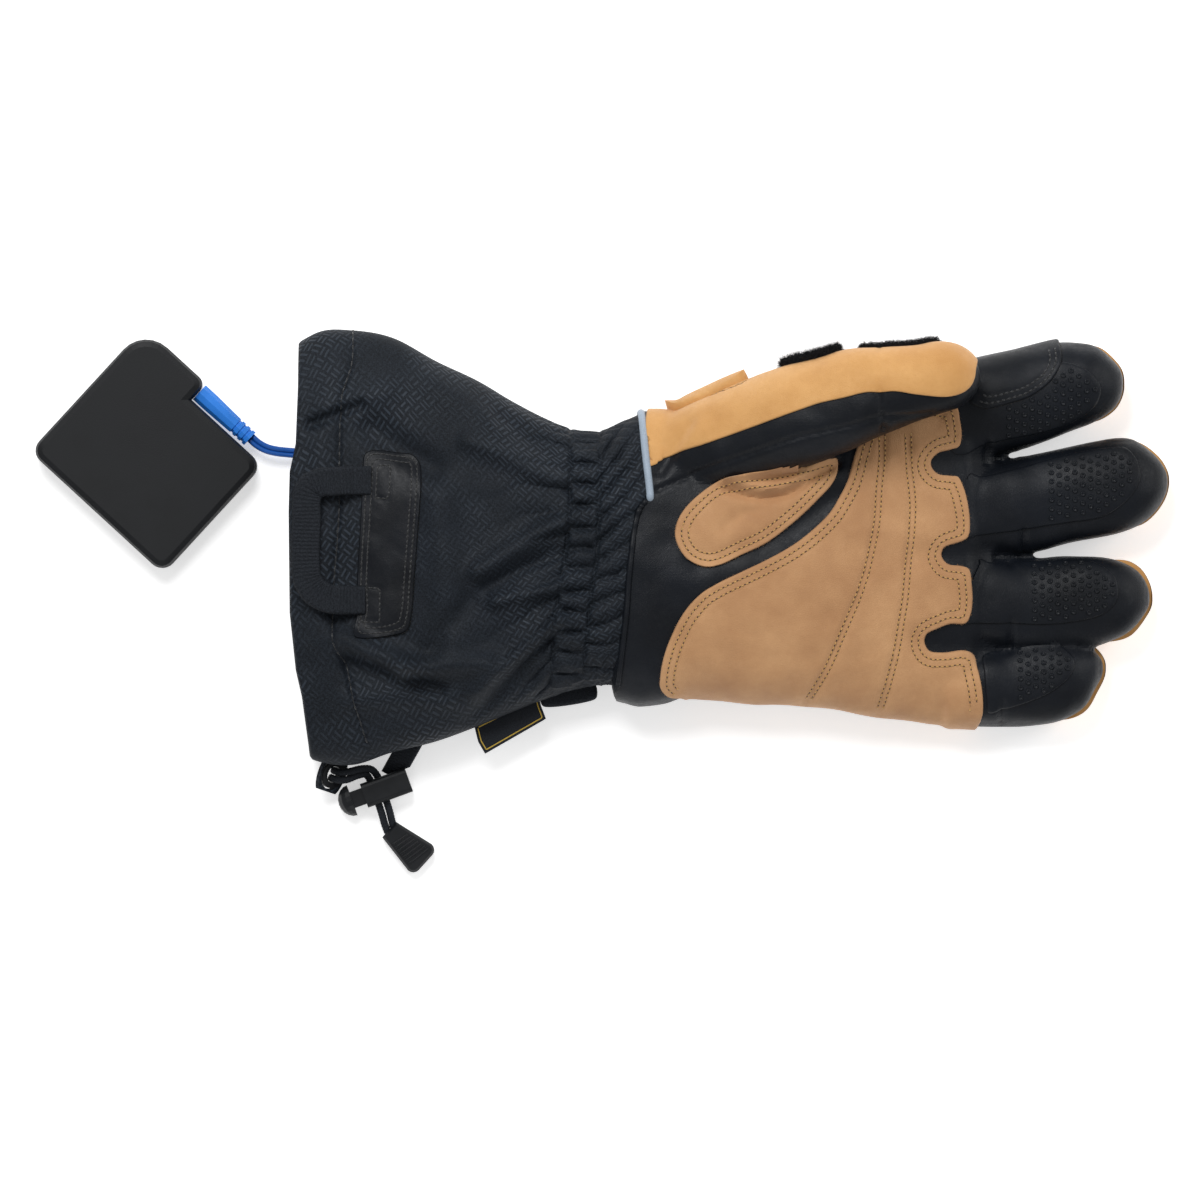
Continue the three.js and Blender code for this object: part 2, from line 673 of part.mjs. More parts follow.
// Height of the gauntlet's top at a point of its plan
function gauntletTop(x, y) {
  const section = gauntletSection((WRIST.x - x) / GAUNTLET.length);
  const across = Math.min(1, Math.abs(y - section.middle) / section.half);
  const rise = (1 - across ** SECTION.fullness) ** (1 / SECTION.fullness);
  const waist = SECTION.waist * section.top;
  return waist + (section.top - waist) * rise + gauntletRelief(x, y) * Math.sqrt(rise);
}

function makeStrapPatch() {
  const outline = STRAP_PATCH_EDGE.map(onCuff);
  const form = (grow) => gauntletForm(grow, FLARE_STATIONS, GAUNTLET_ANGLES, false);
  return overlay(form, outline, GAP, PATCH_THICK);
}

// Flat strip along a path in plan, lying at the given heights
function ribbon(path, width, thick) {
  return loft(path.map((p, i) => {
    const before = path[Math.max(0, i - 1)];
    const after = path[Math.min(path.length - 1, i + 1)];
    const side = new THREE.Vector3(before.y - after.y, after.x - before.x, 0).setLength(width / 2);
    const up = new THREE.Vector3(0, 0, thick);
    const left = p.clone().sub(side);
    const right = p.clone().add(side);
    return [left, right, right.clone().add(up), left.clone().add(up)];
  }));
}

function makePullStrap() {
  const patchLeft = onCuff(STRAP_PATCH_EDGE.at(-2)).x;
  const run = patchLeft - LOOP.reach + WEBBING.width / 2;
  const top = LOOP.top * hemHalf;
  const bottom = LOOP.bottom * hemHalf;
  const bend = WEBBING.bend * WEBBING.width;
  const plan = [[patchLeft, top], [patchLeft - LOOP.sewn, top], [run + bend, top]];
  for (let i = 1; i <= 4; i += 1) {
    const angle = (Math.PI / 2) * (i / 5);
    plan.push([run + bend * (1 - Math.sin(angle)), top - bend * (1 - Math.cos(angle))]);
  }
  plan.push([run, top - bend], [run, (top + bottom) / 2], [run, bottom + bend]);
  for (let i = 1; i <= 4; i += 1) {
    const angle = (Math.PI / 2) * (i / 5);
    plan.push([run + bend * (1 - Math.cos(angle)), bottom + bend * (1 - Math.sin(angle))]);
  }
  plan.push([run + bend, bottom], [patchLeft - LOOP.sewn, bottom], [patchLeft, bottom]);
  const level = gauntletTop(patchLeft, (top + bottom) / 2) + GAP;
  const path = plan.map(([x, y]) => {
    const away = THREE.MathUtils.clamp((patchLeft - x) / LOOP.ramp, 0, 1);
    const ease = away * away * (3 - 2 * away);
    return new THREE.Vector3(x, y, level + CLEAR + WEBBING.lift * ease);
  });
  return ribbon(path, WEBBING.width, WEBBING.thick);
}

// Tabs at the wrist's and hem's little-finger side
const cuffEdge = (along) => {
  const section = gauntletSection(along);
  return section.middle - section.half;
};

function tabOutline({ along, length, inside, out }) {
  const x = WRIST.x - along * GAUNTLET.length;
  const half = length / 2;
  const share = half / GAUNTLET.length;
  const slope = (cuffEdge(along - share) - cuffEdge(along + share)) / length;
  const at = (dx, dy) => new THREE.Vector2(x + dx - slope * dy, cuffEdge(along) + slope * dx + dy);
  return [at(-half, inside), at(-half, -out), at(half, -out), at(half, inside)];
}

function makeSideTab(size) {
  const tab = prism(tabOutline(size), size.height - size.thick / 2, size.height + size.thick / 2);
  const form = gauntletForm(GAP, GAUNTLET_STATIONS, GAUNTLET_ANGLES, true);
  return tab.subtract(form);
}

// Hem drawcord: eyelet, lock and grip, then the route of each strand through them
const GROMMET_AT = new THREE.Vector3(-153.2, -80.8, 7.5);
const GROMMET_AXIS = new THREE.Vector3(0.67, -0.24, 0.7).normalize();
const LOCK_AT = new THREE.Vector3(-136.6, -86.9, 4.9);
const LOCK_AXIS = new THREE.Vector2(0.94, 0.34).normalize();
const CORD_END_AT = new THREE.Vector3(-132.1, -101.4, 3.2);
const CORD_END_TURN = THREE.MathUtils.degToRad(-42);
const STRAND_ROUTES = [
  [
    [-152.7, -79.5, 7.5], [-150.2, -80.3, 10], [-147, -80, 10.6], [-142.6, -79, 8.8],
    [-139, -79.3, 6.3], [-136.9, -81.7, 4.9], [-135.2, -86.4, 4.9], [-133.5, -91.1, 4.9],
    [-132.4, -94.8, 4.4], [-131.7, -97.8, 3.6], [-131, -100.2, 3.2], [-129, -102.4, 3.2],
  ],
  [
    [-153.7, -82.1, 7.5], [-151.2, -82.9, 9.6], [-148, -82.9, 10], [-144, -81.4, 8],
    [-141.2, -81, 6], [-139.7, -82.7, 4.9], [-138, -87.4, 4.9], [-136.3, -92.1, 4.9],
    [-135.2, -95.6, 4.4], [-134.2, -99.2, 3.6], [-133, -102, 3.2], [-130.8, -104.4, 3.2],
  ],
];

// Round or oval tube along a chosen route
function tubeAlong(route, width, thick, sides, steps) {
  const section = [];
  for (let i = 0; i < sides; i += 1) {
    const angle = (2 * Math.PI * i) / sides;
    section.push(new THREE.Vector2((thick / 2) * Math.cos(angle), (width / 2) * Math.sin(angle)));
  }
  const points = route.map((p) => new THREE.Vector3(...p));
  return new THREE.ExtrudeGeometry(new THREE.Shape(section), {
    steps,
    extrudePath: new THREE.CatmullRomCurve3(points, false, 'centripetal'),
    bevelEnabled: false,
  });
}

// Block with rounded edges along its length, its length along X
function roundedBar(length, width, height, corner) {
  const shape = new THREE.Shape();
  const w = width / 2 - corner;
  const h = height / 2 - corner;
  shape.absarc(w, h, corner, 0, Math.PI / 2);
  shape.absarc(-w, h, corner, Math.PI / 2, Math.PI);
  shape.absarc(-w, -h, corner, Math.PI, 1.5 * Math.PI);
  shape.absarc(w, -h, corner, 1.5 * Math.PI, 2 * Math.PI);
  const options = { depth: length, bevelEnabled: false, curveSegments: 3 };
  const geometry = new THREE.ExtrudeGeometry(shape, options);
  geometry.rotateX(Math.PI / 2);
  geometry.rotateZ(Math.PI / 2);
  return geometry;
}

const lockTurn = Math.atan2(LOCK_AXIS.y, LOCK_AXIS.x);

function placeInLock(geometry) {
  geometry.rotateZ(lockTurn);
  geometry.translate(LOCK_AT.x, LOCK_AT.y, LOCK_AT.z);
  return toSolid(geometry);
}

// The lock's own frame: the cords cross at its origin, the barrel's open end lies towards -X
const BARREL_START = -DRAWCORD.diameter * 1.5 - BARREL.end;
const CORD_SLOT = { long: 2 * DRAWCORD.diameter + 2 * CLEAR, high: DRAWCORD.diameter + CLEAR };

function barrelForm(grow) {
  const body = roundedBar(
    BARREL.length + 2 * grow,
    BARREL.width + 2 * grow,
    BARREL.height + 2 * grow,
    BARREL.corner,
  );
  body.translate(BARREL_START - grow, 0, 0);
  return placeInLock(body);
}

function makeBarrel() {
  const bore = new THREE.BoxGeometry(
    BARREL.length,
    BARREL.width - 2 * BARREL.wall,
    BARREL.height - 2 * BARREL.wall,
  );
  bore.translate(BARREL_START + BARREL.length / 2 - BARREL.end, 0, 0);
  const slot = new THREE.BoxGeometry(CORD_SLOT.long, 3 * BARREL.width, CORD_SLOT.high);
  return barrelForm(0).subtract(placeInLock(bore)).subtract(placeInLock(slot));
}

function makePlunger() {
  const width = BARREL.width - 2 * BARREL.wall - 2 * PLUNGER.gap;
  const height = BARREL.height - 2 * BARREL.wall - 2 * PLUNGER.gap;
  const face = BARREL_START - PLUNGER.travel - CLEAR;
  const shank = new THREE.BoxGeometry(PLUNGER.shank, width, height);
  shank.translate(face + PLUNGER.shank / 2, 0, 0);
  const head = new THREE.SphereGeometry(1, 16, 10);
  head.scale(PLUNGER.headLength, PLUNGER.headWidth / 2, PLUNGER.headHeight / 2);
  head.translate(face, 0, 0);
  const cut = new THREE.BoxGeometry(PLUNGER.headLength * 2, PLUNGER.headWidth * 2, PLUNGER.headHeight * 2);
  cut.translate(face + PLUNGER.headLength, 0, 0);
  const window = new THREE.BoxGeometry(CORD_SLOT.long + PLUNGER.travel, 3 * width, CORD_SLOT.high);
  window.translate(-PLUNGER.travel / 2, 0, 0);
  const dome = placeInLock(head).subtract(placeInLock(cut));
  return dome.add(placeInLock(shank)).subtract(placeInLock(window));
}

// The eyelet's own frame: X from its centre towards the cuff, Y along the hole
const grommetSide = new THREE.Vector3(-GROMMET_AXIS.y, GROMMET_AXIS.x, 0).normalize();
const grommetFrame = new THREE.Matrix4()
  .makeBasis(grommetSide, GROMMET_AXIS, grommetSide.clone().cross(GROMMET_AXIS))
  .setPosition(GROMMET_AT);

function makeGrommet() {
  const half = GROMMET.thick / 2;
  const { inner, outer } = GROMMET;
  const profile = [[inner, -half], [outer, -half], [outer, half], [inner, half], [inner, -half]];
  const points = profile.map(([r, side]) => new THREE.Vector2(r, side));
  return toSolid(new THREE.LatheGeometry(points, 18).applyMatrix4(grommetFrame));
}

function makeHemTab() {
  const plate = new THREE.BoxGeometry(HEM_TAB.length, HEM_TAB.thick, HEM_TAB.width);
  plate.translate(HEM_TAB.length / 2 - GROMMET.outer - HEM_TAB.rim, 0, 0);
  const hole = new THREE.CylinderGeometry(GROMMET.outer + GAP, GROMMET.outer + GAP, HEM_TAB.length, 20);
  const tab = toSolid(plate.applyMatrix4(grommetFrame)).subtract(toSolid(hole.applyMatrix4(grommetFrame)));
  return largest(tab.subtract(gauntletForm(GAP, GAUNTLET_STATIONS, GAUNTLET_ANGLES, true)));
}

function makeLockWebbing() {
  const end = BARREL_START + BARREL.length * LOCK_WEBBING.barrelShare;
  const from = new THREE.Vector2(LOCK_AT.x, LOCK_AT.y)
    .addScaledVector(LOCK_AXIS, end)
    .addScaledVector(new THREE.Vector2(-LOCK_AXIS.y, LOCK_AXIS.x), BARREL.width / 4);
  const { along, inside, height, drop } = LOCK_WEBBING;
  const to = new THREE.Vector2(WRIST.x - along * GAUNTLET.length, cuffEdge(along) + inside);
  const path = stationsBetween(0, 1, 5).map((t) => new THREE.Vector3(
    THREE.MathUtils.lerp(from.x, to.x, t),
    THREE.MathUtils.lerp(from.y, to.y, t),
    THREE.MathUtils.lerp(LOCK_AT.z - drop, height, t),
  ));
  const form = gauntletForm(GAP, GAUNTLET_STATIONS, GAUNTLET_ANGLES, true);
  const strip = ribbon(path, LOCK_WEBBING.width, WEBBING.thick);
  return largest(strip.subtract(form).subtract(barrelForm(GAP)));
}

// Grip on the drawcord's ends, its length along its own X
function makeCordEnd() {
  const shape = new THREE.Shape();
  const half = CORD_END.width / 2;
  const { corner, taper, bevel } = CORD_END;
  shape.moveTo(0, -taper * half);
  shape.lineTo(CORD_END.length - corner, -half);
  shape.absarc(CORD_END.length - corner, -half + corner, corner, -Math.PI / 2, 0);
  shape.absarc(CORD_END.length - corner, half - corner, corner, 0, Math.PI / 2);
  shape.lineTo(0, taper * half);
  const grip = new THREE.ExtrudeGeometry(shape, {
    depth: CORD_END.thick - 2 * bevel,
    bevelEnabled: true,
    bevelThickness: bevel,
    bevelSize: CORD_END.rim,
    bevelSegments: 1,
    curveSegments: 2,
  });
  grip.rotateZ(CORD_END_TURN);
  grip.translate(CORD_END_AT.x, CORD_END_AT.y, bevel + CORD_END.lift);
  let solid = toSolid(grip);
  const over = DRAWCORD.diameter + 2 * GAP;
  STRAND_ROUTES.forEach((route) => {
    const end = new THREE.Vector3(...route.at(-1));
    const way = end.clone().sub(new THREE.Vector3(...route.at(-2))).setLength(GAP);
    const longer = [...route, end.add(way).toArray()];
    solid = solid.subtract(toSolid(tubeAlong(longer, over, over, DRAWCORD.sides, 15)));
  });
  return solid;
}

// Battery pack: rounded slab turned on the floor, with a notch where the plug goes in
const BATTERY_CORNER = new THREE.Vector2(-261.2, 34.6);
const BATTERY_TURN = THREE.MathUtils.degToRad(-42.6);

// Slab with round corners and rolled edges, its low corner at the origin
function rolledSlab(long, wide, rounds) {
  const shape = new THREE.Shape();
  const [lowLeft, lowRight, highRight, highLeft] = rounds;
  shape.absarc(long - lowRight, lowRight, lowRight, -Math.PI / 2, 0);
  shape.absarc(long - highRight, wide - highRight, highRight, 0, Math.PI / 2);
  shape.absarc(highLeft, wide - highLeft, highLeft, Math.PI / 2, Math.PI);
  shape.absarc(lowLeft, lowLeft, lowLeft, Math.PI, 1.5 * Math.PI);
  const slab = new THREE.ExtrudeGeometry(shape, {
    depth: BATTERY.thick - 2 * BATTERY.edge,
    bevelEnabled: true,
    bevelThickness: BATTERY.edge,
    bevelSize: BATTERY.edge,
    bevelOffset: -BATTERY.edge,
    bevelSegments: 2,
    curveSegments: 3,
  });
  slab.translate(0, 0, BATTERY.edge);
  slab.rotateZ(BATTERY_TURN);
  slab.translate(BATTERY_CORNER.x, BATTERY_CORNER.y, 0);
  return toSolid(slab);
}

function makeBattery() {
  const { long, wide, round, bigRound, edge } = BATTERY;
  const body = rolledSlab(long, wide - NOTCH.deep, [round, round, round, round]);
  const socketSide = rolledSlab(long - NOTCH.long, wide, [round, round, edge + 1, bigRound]);
  return body.add(socketSide);
}

// Plug in the notch, its face against the notch's short side
const batteryPoint = (x, y) => new THREE.Vector2(x, y)
  .rotateAround(new THREE.Vector2(), BATTERY_TURN)
  .add(BATTERY_CORNER);
const plugMiddle = BATTERY.wide - NOTCH.deep + PLUG.radius + GAP;
const PLUG_START = batteryPoint(BATTERY.long - NOTCH.long + GAP, plugMiddle);
const PLUG_HEIGHT = BATTERY.thick / 2;

function makePlug() {
  const profile = [new THREE.Vector2(0, 0), new THREE.Vector2(PLUG.radius, 0)];
  const neck = PLUG.length - PLUG.collar;
  profile.push(new THREE.Vector2(PLUG.radius, 0.3 * neck));
  profile.push(new THREE.Vector2(PLUG.endRadius + PLUG.step, neck));
  const pitch = PLUG.collar / PLUG.rings;
  for (let i = 0; i < PLUG.rings; i += 1) {
    const at = neck + i * pitch;
    profile.push(new THREE.Vector2(PLUG.endRadius, at + 0.1 * pitch));
    profile.push(new THREE.Vector2(PLUG.endRadius, at + 0.4 * pitch));
    profile.push(new THREE.Vector2(PLUG.endRadius + PLUG.step, at + 0.5 * pitch));
    profile.push(new THREE.Vector2(PLUG.endRadius + PLUG.step, at + pitch));
  }
  profile.push(new THREE.Vector2(0, PLUG.length));
  const plug = new THREE.LatheGeometry(profile, 10);
  plug.rotateZ(-Math.PI / 2);
  plug.rotateZ(BATTERY_TURN);
  plug.translate(PLUG_START.x, PLUG_START.y, PLUG_HEIGHT);
  return toSolid(plug);
}

// Lead: out of the plug, through the cuff's mouth and along the inside of the back
const plugEnd = batteryPoint(BATTERY.long - NOTCH.long + 2 * GAP + PLUG.length, plugMiddle);
const plugWay = new THREE.Vector2(1, 0).rotateAround(new THREE.Vector2(), BATTERY_TURN);
const LEAD_ROUTE = [
  [plugEnd.x, plugEnd.y, PLUG_HEIGHT],
  [plugEnd.x + 3 * plugWay.x, plugEnd.y + 3 * plugWay.y, PLUG_HEIGHT],
  [-176.6, 35.6, 6.8], [-173, 34.7, 6.4], [-169.5, 34.3, 6], [-165, 33.9, 5.6], [-159, 33, 5],
  [-151, 31, 4.5], [-142, 29.4, 4.3], [-133, 29.6, 4.3], [-124, 31, 4.3], [-115, 31.6, 4.3],
  [-107, 30.2, 4.3], [-99, 26.8, 4.3], [-91, 23.4, 4.3], [-83, 21.6, 4.3],
];

// Assembly
const glove = new THREE.Group();

function addPiece(name, geometry, colour, roughness, metalness = 0) {
  const material = new THREE.MeshStandardMaterial({ color: colour, roughness, metalness });
  const mesh = new THREE.Mesh(geometry, material);
  mesh.name = name;
  glove.add(mesh);
}

const addSolid = (name, solid, colour, roughness, metalness) => {
  addPiece(name, toGeometry(solid), colour, roughness, metalness);
};

const panelLift = 2 * GAP + PANEL_THICK;
const handAndThumb = (grow) => hand(grow).add(thumb(grow));
const onPalm = (outline, thick) => largest(overlay(hand, outline, GAP, thick).subtract(thumb(panelLift)));
const onBody = (outline, lift, thick) => largest(overlay(handAndThumb, outline, lift, thick));

addSolid('gauntlet_cuff', makeGauntlet(), COLOURS.softshell, 0.8);
addSolid('hand_shell', makeHand(), COLOURS.knit, 0.7);
makeFingers().forEach((stall, i) => addSolid(`${FINGERS[i].name}_finger`, stall, COLOURS.knit, 0.65));
addSolid('thumb', makeThumb(), COLOURS.knit, 0.65);

const thenarOutline = smoothOutline(THENAR_EDGE.map(onHand), 24);
addSolid('palm_patch', onPalm(palmOutline(), PATCH_THICK), COLOURS.tan, 0.75);
addSolid('thenar_patch', onBody(thenarOutline, GAP, PATCH_THICK), COLOURS.tan, 0.75);
const indexPatch = largest(indexOverlay(fingers[0]).subtract(thumb(panelLift)));
const pipingOutline = seamStrip(GAP, PIPING.width, SEAM.slice(1, 3));
addSolid('index_overlay', indexPatch, COLOURS.suede, 0.8);
addSolid('piping', onBody(pipingOutline, GAP, PIPING.proud), COLOURS.piping, 0.4);

const sidePadOutline = SIDE_PAD_EDGE.map(onHand);
const terryOutline = TERRY_EDGE.map(onHand);
const suedeOutline = SUEDE_EDGE.map(onHand);

// Past the thumb's root the panel belongs to the thumb alone
const rootEnd = [[0.4, -1.5], [1.2, -1.5], [1.2, 1.5], [0.4, 1.5]];
const pastRoot = palmUp(rootEnd.map(([along, across]) => onHand({ along, across })));
const thumbPanel = overlay(handAndThumb, THUMB_PANEL_EDGE.map(onHand), GAP, PANEL_THICK)
  .subtract(hand(panelLift).intersect(pastRoot))
  .subtract(palmUp(seamStrip(-HAND.length, PIPING.width + GAP, SEAM.slice(0, 3))));
addSolid('thumb_back_panel', largest(thumbPanel), COLOURS.tanBack, 0.7);
addSolid('thumb_side_pad', onBody(sidePadOutline, panelLift, PAD_THICK), COLOURS.tanBack, 0.7);
addSolid('terry_wipe', onBody(terryOutline, panelLift, FUZZ_THICK), COLOURS.suede, 1);
addSolid('suede_strip', onBody(suedeOutline, panelLift, PANEL_THICK), COLOURS.suede, 1);

fingers.slice(1).forEach((finger) => {
  addSolid(`${finger.name}_tip_pad`, tipPad(finger), COLOURS.knit, 0.55);
});
fingers.slice(2).forEach((finger) => {
  addSolid(`${finger.name}_back_cap`, backCap(finger), COLOURS.tanBack, 0.7);
});

addSolid('strap_patch', makeStrapPatch(), COLOURS.suede, 0.8);
addSolid('pull_strap', makePullStrap(), COLOURS.webbing, 0.85);
addSolid('side_label', makeSideTab(LABEL), COLOURS.label, 0.6);
addSolid('wrist_tab', makeSideTab(WRIST_TAB), COLOURS.webbing, 0.8);

addSolid('hem_tab', makeHemTab(), COLOURS.softshell, 0.8);
addSolid('grommet', makeGrommet(), COLOURS.plastic, 0.4);
STRAND_ROUTES.forEach((route, i) => {
  const tube = tubeAlong(route, DRAWCORD.diameter, DRAWCORD.diameter, DRAWCORD.sides, 14);
  addPiece(`drawcord_${'ab'[i]}`, tube, COLOURS.webbing, 0.8);
});
addSolid('lock_webbing', makeLockWebbing(), COLOURS.webbing, 0.85);
addSolid('cord_lock_barrel', makeBarrel(), COLOURS.plastic, 0.45);
addSolid('cord_lock_plunger', makePlunger(), COLOURS.plastic, 0.45);
addSolid('cord_end', makeCordEnd(), COLOURS.plastic, 0.5);

addSolid('battery_pack', makeBattery(), COLOURS.rubber, 0.7);
addSolid('power_plug', makePlug(), COLOURS.plug, 0.45);
const leadTube = tubeAlong(LEAD_ROUTE, LEAD.width, LEAD.thick, LEAD.sides, LEAD.steps);
addPiece('power_lead', leadTube, COLOURS.lead, 0.5);

export default glove;
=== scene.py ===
"""Insulated left-hand gauntlet glove with a heating lead and a battery pack, lying palm up.

Lengths in the tables are millimetres in the glove's own frame: +X to the fingertips, +Y to the
thumb's side, +Z up. Outlines named _PX were read off the photograph's 1200 x 1200 pixels.
"""
import math

import bmesh
import bpy
import numpy as np
from bpy.props import FloatProperty, FloatVectorProperty, PointerProperty
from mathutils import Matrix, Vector, noise
from mathutils.bvhtree import BVHTree
from mathutils.geometry import delaunay_2d_cdt


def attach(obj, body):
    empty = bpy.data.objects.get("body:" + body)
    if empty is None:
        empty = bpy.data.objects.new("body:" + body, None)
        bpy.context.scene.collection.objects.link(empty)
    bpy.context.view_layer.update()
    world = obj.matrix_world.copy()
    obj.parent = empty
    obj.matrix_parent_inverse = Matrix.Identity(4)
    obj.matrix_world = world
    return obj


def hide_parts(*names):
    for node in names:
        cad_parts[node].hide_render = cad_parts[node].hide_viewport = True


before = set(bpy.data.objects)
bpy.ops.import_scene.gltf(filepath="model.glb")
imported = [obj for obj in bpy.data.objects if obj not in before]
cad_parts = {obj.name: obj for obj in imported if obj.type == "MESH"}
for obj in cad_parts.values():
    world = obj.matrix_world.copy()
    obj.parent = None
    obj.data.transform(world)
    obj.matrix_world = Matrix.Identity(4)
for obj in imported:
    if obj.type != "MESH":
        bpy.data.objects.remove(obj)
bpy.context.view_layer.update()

bl_info = {
    "name": "Heated gauntlet glove",
    "version": (1, 0, 0),
    "blender": (4, 5, 0),
    "location": "View3D > Sidebar > Glove",
    "description": "Builds the leather, cloth, stitching and fittings of a heated work glove",
    "category": "Object",
}

MM = 0.001
PX_PER_MM = 2.8
PX_ORIGIN = (760.0, 548.0)
PHOTO_PX = 1200.0
RANDOM_SEED = 11

# A ray that starts inside the thumb goes on from its underside by this much
PAST_UNDERSIDE = 0.05

# A laid piece's edge keeps this share of its thickness; edges sharper than this angle stay sharp
RIM_SHARE = 0.55
SHEET_CREASE = 50

# Shapes that later pieces are laid on, filled in as the operators run
BUILT = {}


# Lines, in plan

def at_px(points):
    """Photograph pixels to millimetres in plan."""
    p = np.asarray(points, float)
    return np.column_stack(((p[:, 0] - PX_ORIGIN[0]) / PX_PER_MM, (PX_ORIGIN[1] - p[:, 1]) / PX_PER_MM))


def resample(line, step):
    """The same line with points an even step apart."""
    gaps = np.linalg.norm(np.diff(line, axis=0), axis=1)
    along = np.concatenate(([0.0], np.cumsum(gaps)))
    count = max(2, int(round(along[-1] / step)) + 1)
    at = np.linspace(0, along[-1], count)
    return np.column_stack([np.interp(at, along, line[:, k]) for k in range(line.shape[1])])


def smooth_line(points, step, closed=False):
    """A smooth line through a few points."""
    p = np.asarray(points, float)
    first, last = 0, len(p) - 1
    if closed:
        p = np.vstack((p[-2:], p, p[:3]))
        first, last = 2, len(p) - 3
    knots = np.concatenate(([0.0], np.cumsum(np.linalg.norm(np.diff(p, axis=0), axis=1) ** 0.5)))
    slope = np.gradient(p, knots, axis=0)
    u = np.linspace(knots[first], knots[last], 16 * (last - first) + 1)
    k = np.clip(np.searchsorted(knots, u, "right") - 1, first, last - 1)
    h = (knots[k + 1] - knots[k])[:, None]
    t = (u - knots[k])[:, None] / h
    ends = (1 + 2 * t) * (1 - t) ** 2 * p[k] + t * t * (3 - 2 * t) * p[k + 1]
    bends = t * (1 - t) ** 2 * h * slope[k] + t * t * (t - 1) * h * slope[k + 1]
    return resample(ends + bends, step)


def distance_to(points, line):
    """Distance from each point to a line, in plan."""
    best = np.full(len(points), 1e9)
    a, b = line[:-1], line[1:]
    ab = b - a
    size = np.maximum((ab ** 2).sum(1), 1e-12)
    for start in range(0, len(points), 4000):
        p = points[start:start + 4000, None, :]
        t = np.clip(((p - a) * ab).sum(2) / size, 0, 1)
        away = np.linalg.norm(p - (a + t[..., None] * ab), axis=2)
        best[start:start + 4000] = away.min(1)
    return best


def inside(points, outline):
    """Whether each point lies in a closed outline."""
    x, y = points[:, 0], points[:, 1]
    found = np.zeros(len(points), bool)
    for (x0, y0), (x1, y1) in zip(outline, np.roll(outline, -1, axis=0)):
        crosses = (y0 > y) != (y1 > y)
        rise = y1 - y0 if y1 != y0 else 1e-12
        found ^= crosses & (x < (x1 - x0) * (y - y0) / rise + x0)
    return found


def bell(distance, width):
    """A smooth bump: 1 on the line, falling off over the width."""
    return np.exp(-(distance / width) ** 2)


def ease(value, low, high):
    """Smooth step from 0 at low to 1 at high."""
    t = np.clip((value - low) / (high - low), 0, 1)
    return t * t * (3 - 2 * t)


def table(x, rows):
    """A value read from a short table of (x, value) rows, with smooth slopes."""
    xs = np.array([row[0] for row in rows], float)
    ys = np.array([row[1] for row in rows], float)
    slope = np.gradient(ys, xs)
    x = np.clip(x, xs[0], xs[-1])
    k = np.clip(np.searchsorted(xs, x, "right") - 1, 0, len(xs) - 2)
    h = xs[k + 1] - xs[k]
    t = (x - xs[k]) / h
    ends = (1 + 2 * t) * (1 - t) ** 2 * ys[k] + t * t * (3 - 2 * t) * ys[k + 1]
    return ends + t * (1 - t) ** 2 * h * slope[k] + t * t * (t - 1) * h * slope[k + 1]


def ripple(points, size, seed=0.0):
    """Smooth noise from -1 to 1 at each point, its bumps about that size."""
    return np.array([noise.noise(Vector(p) / size + Vector((seed, seed, seed))) for p in points])


# Meshes

def add_object(name, verts, faces, material, smooth_angle=None, uv=None):
    """A mesh object from millimetre points; its material is given by name, or as itself."""
    mesh = bpy.data.meshes.new(name)
    mesh.from_pydata((np.asarray(verts) * MM).tolist(), [], [list(f) for f in faces])
    mesh.validate()
    mesh.update()
    made = bpy.data.objects.new(name, mesh)
    bpy.context.scene.collection.objects.link(made)
    for one in material if isinstance(material, (list, tuple)) else [material]:
        mesh.materials.append(stuff(one) if isinstance(one, str) else one)
    if smooth_angle is None:
        mesh.polygons.foreach_set("use_smooth", np.ones(len(mesh.polygons), bool))
    else:
        mesh.shade_smooth()
        mesh.set_sharp_from_angle(angle=math.radians(smooth_angle))
    if uv is not None:
        layer = mesh.uv_layers.new(name="cloth")
        loops = np.zeros(len(mesh.loops), np.int64)
        mesh.loops.foreach_get("vertex_index", loops)
        layer.data.foreach_set("uv", np.asarray(uv)[loops].astype(np.float32).ravel())
    return made


def place(piece, slot, *nodes, body="glove"):
    """Rides a piece on its body and hides the CAD parts that it stands for; its slot is not used."""
    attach(piece, body)
    if nodes:
        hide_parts(*nodes)
    return piece


def ring_faces(rows, count):
    """Quads between closed rows of equal count."""
    faces = []
    for r in range(rows - 1):
        for k in range(count):
            a = r * count + k
            b = r * count + (k + 1) % count
            faces.append((a, b, b + count, a + count))
    return faces


def loft_mesh(rings):
    """Closed skin through rings, with a fan at each end."""
    rows, count = rings.shape[:2]
    verts = rings.reshape(-1, 3)
    faces = ring_faces(rows, count)
    hubs = np.array([rings[0].mean(0), rings[-1].mean(0)])
    first, last = len(verts), len(verts) + 1
    for k in range(count):
        faces.append((first, (k + 1) % count, k))
        start = (rows - 1) * count
        faces.append((last, start + k, start + (k + 1) % count))
    return np.vstack((verts, hubs)), faces


def join_parts(parts):
    """Several (verts, faces) as one."""
    verts, faces, start = [], [], 0
    for v, f in parts:
        verts.append(np.asarray(v))
        faces.extend([tuple(i + start for i in face) for face in f])
        start += len(v)
    return np.vstack(verts), faces


def read_mesh(piece):
    """A piece's points in millimetres, its points' normals and its faces."""
    mesh = piece.data
    verts = np.zeros(len(mesh.vertices) * 3)
    mesh.vertices.foreach_get("co", verts)
    normals = np.zeros(len(mesh.vertices) * 3)
    mesh.vertices.foreach_get("normal", normals)
    faces = [tuple(p.vertices) for p in mesh.polygons]
    return verts.reshape(-1, 3) / MM, normals.reshape(-1, 3), faces


def write_points(piece, verts):
    """Moves the piece's points to these, in mm."""
    piece.data.vertices.foreach_set("co", (verts * MM).astype(np.float32).ravel())
    piece.data.update()


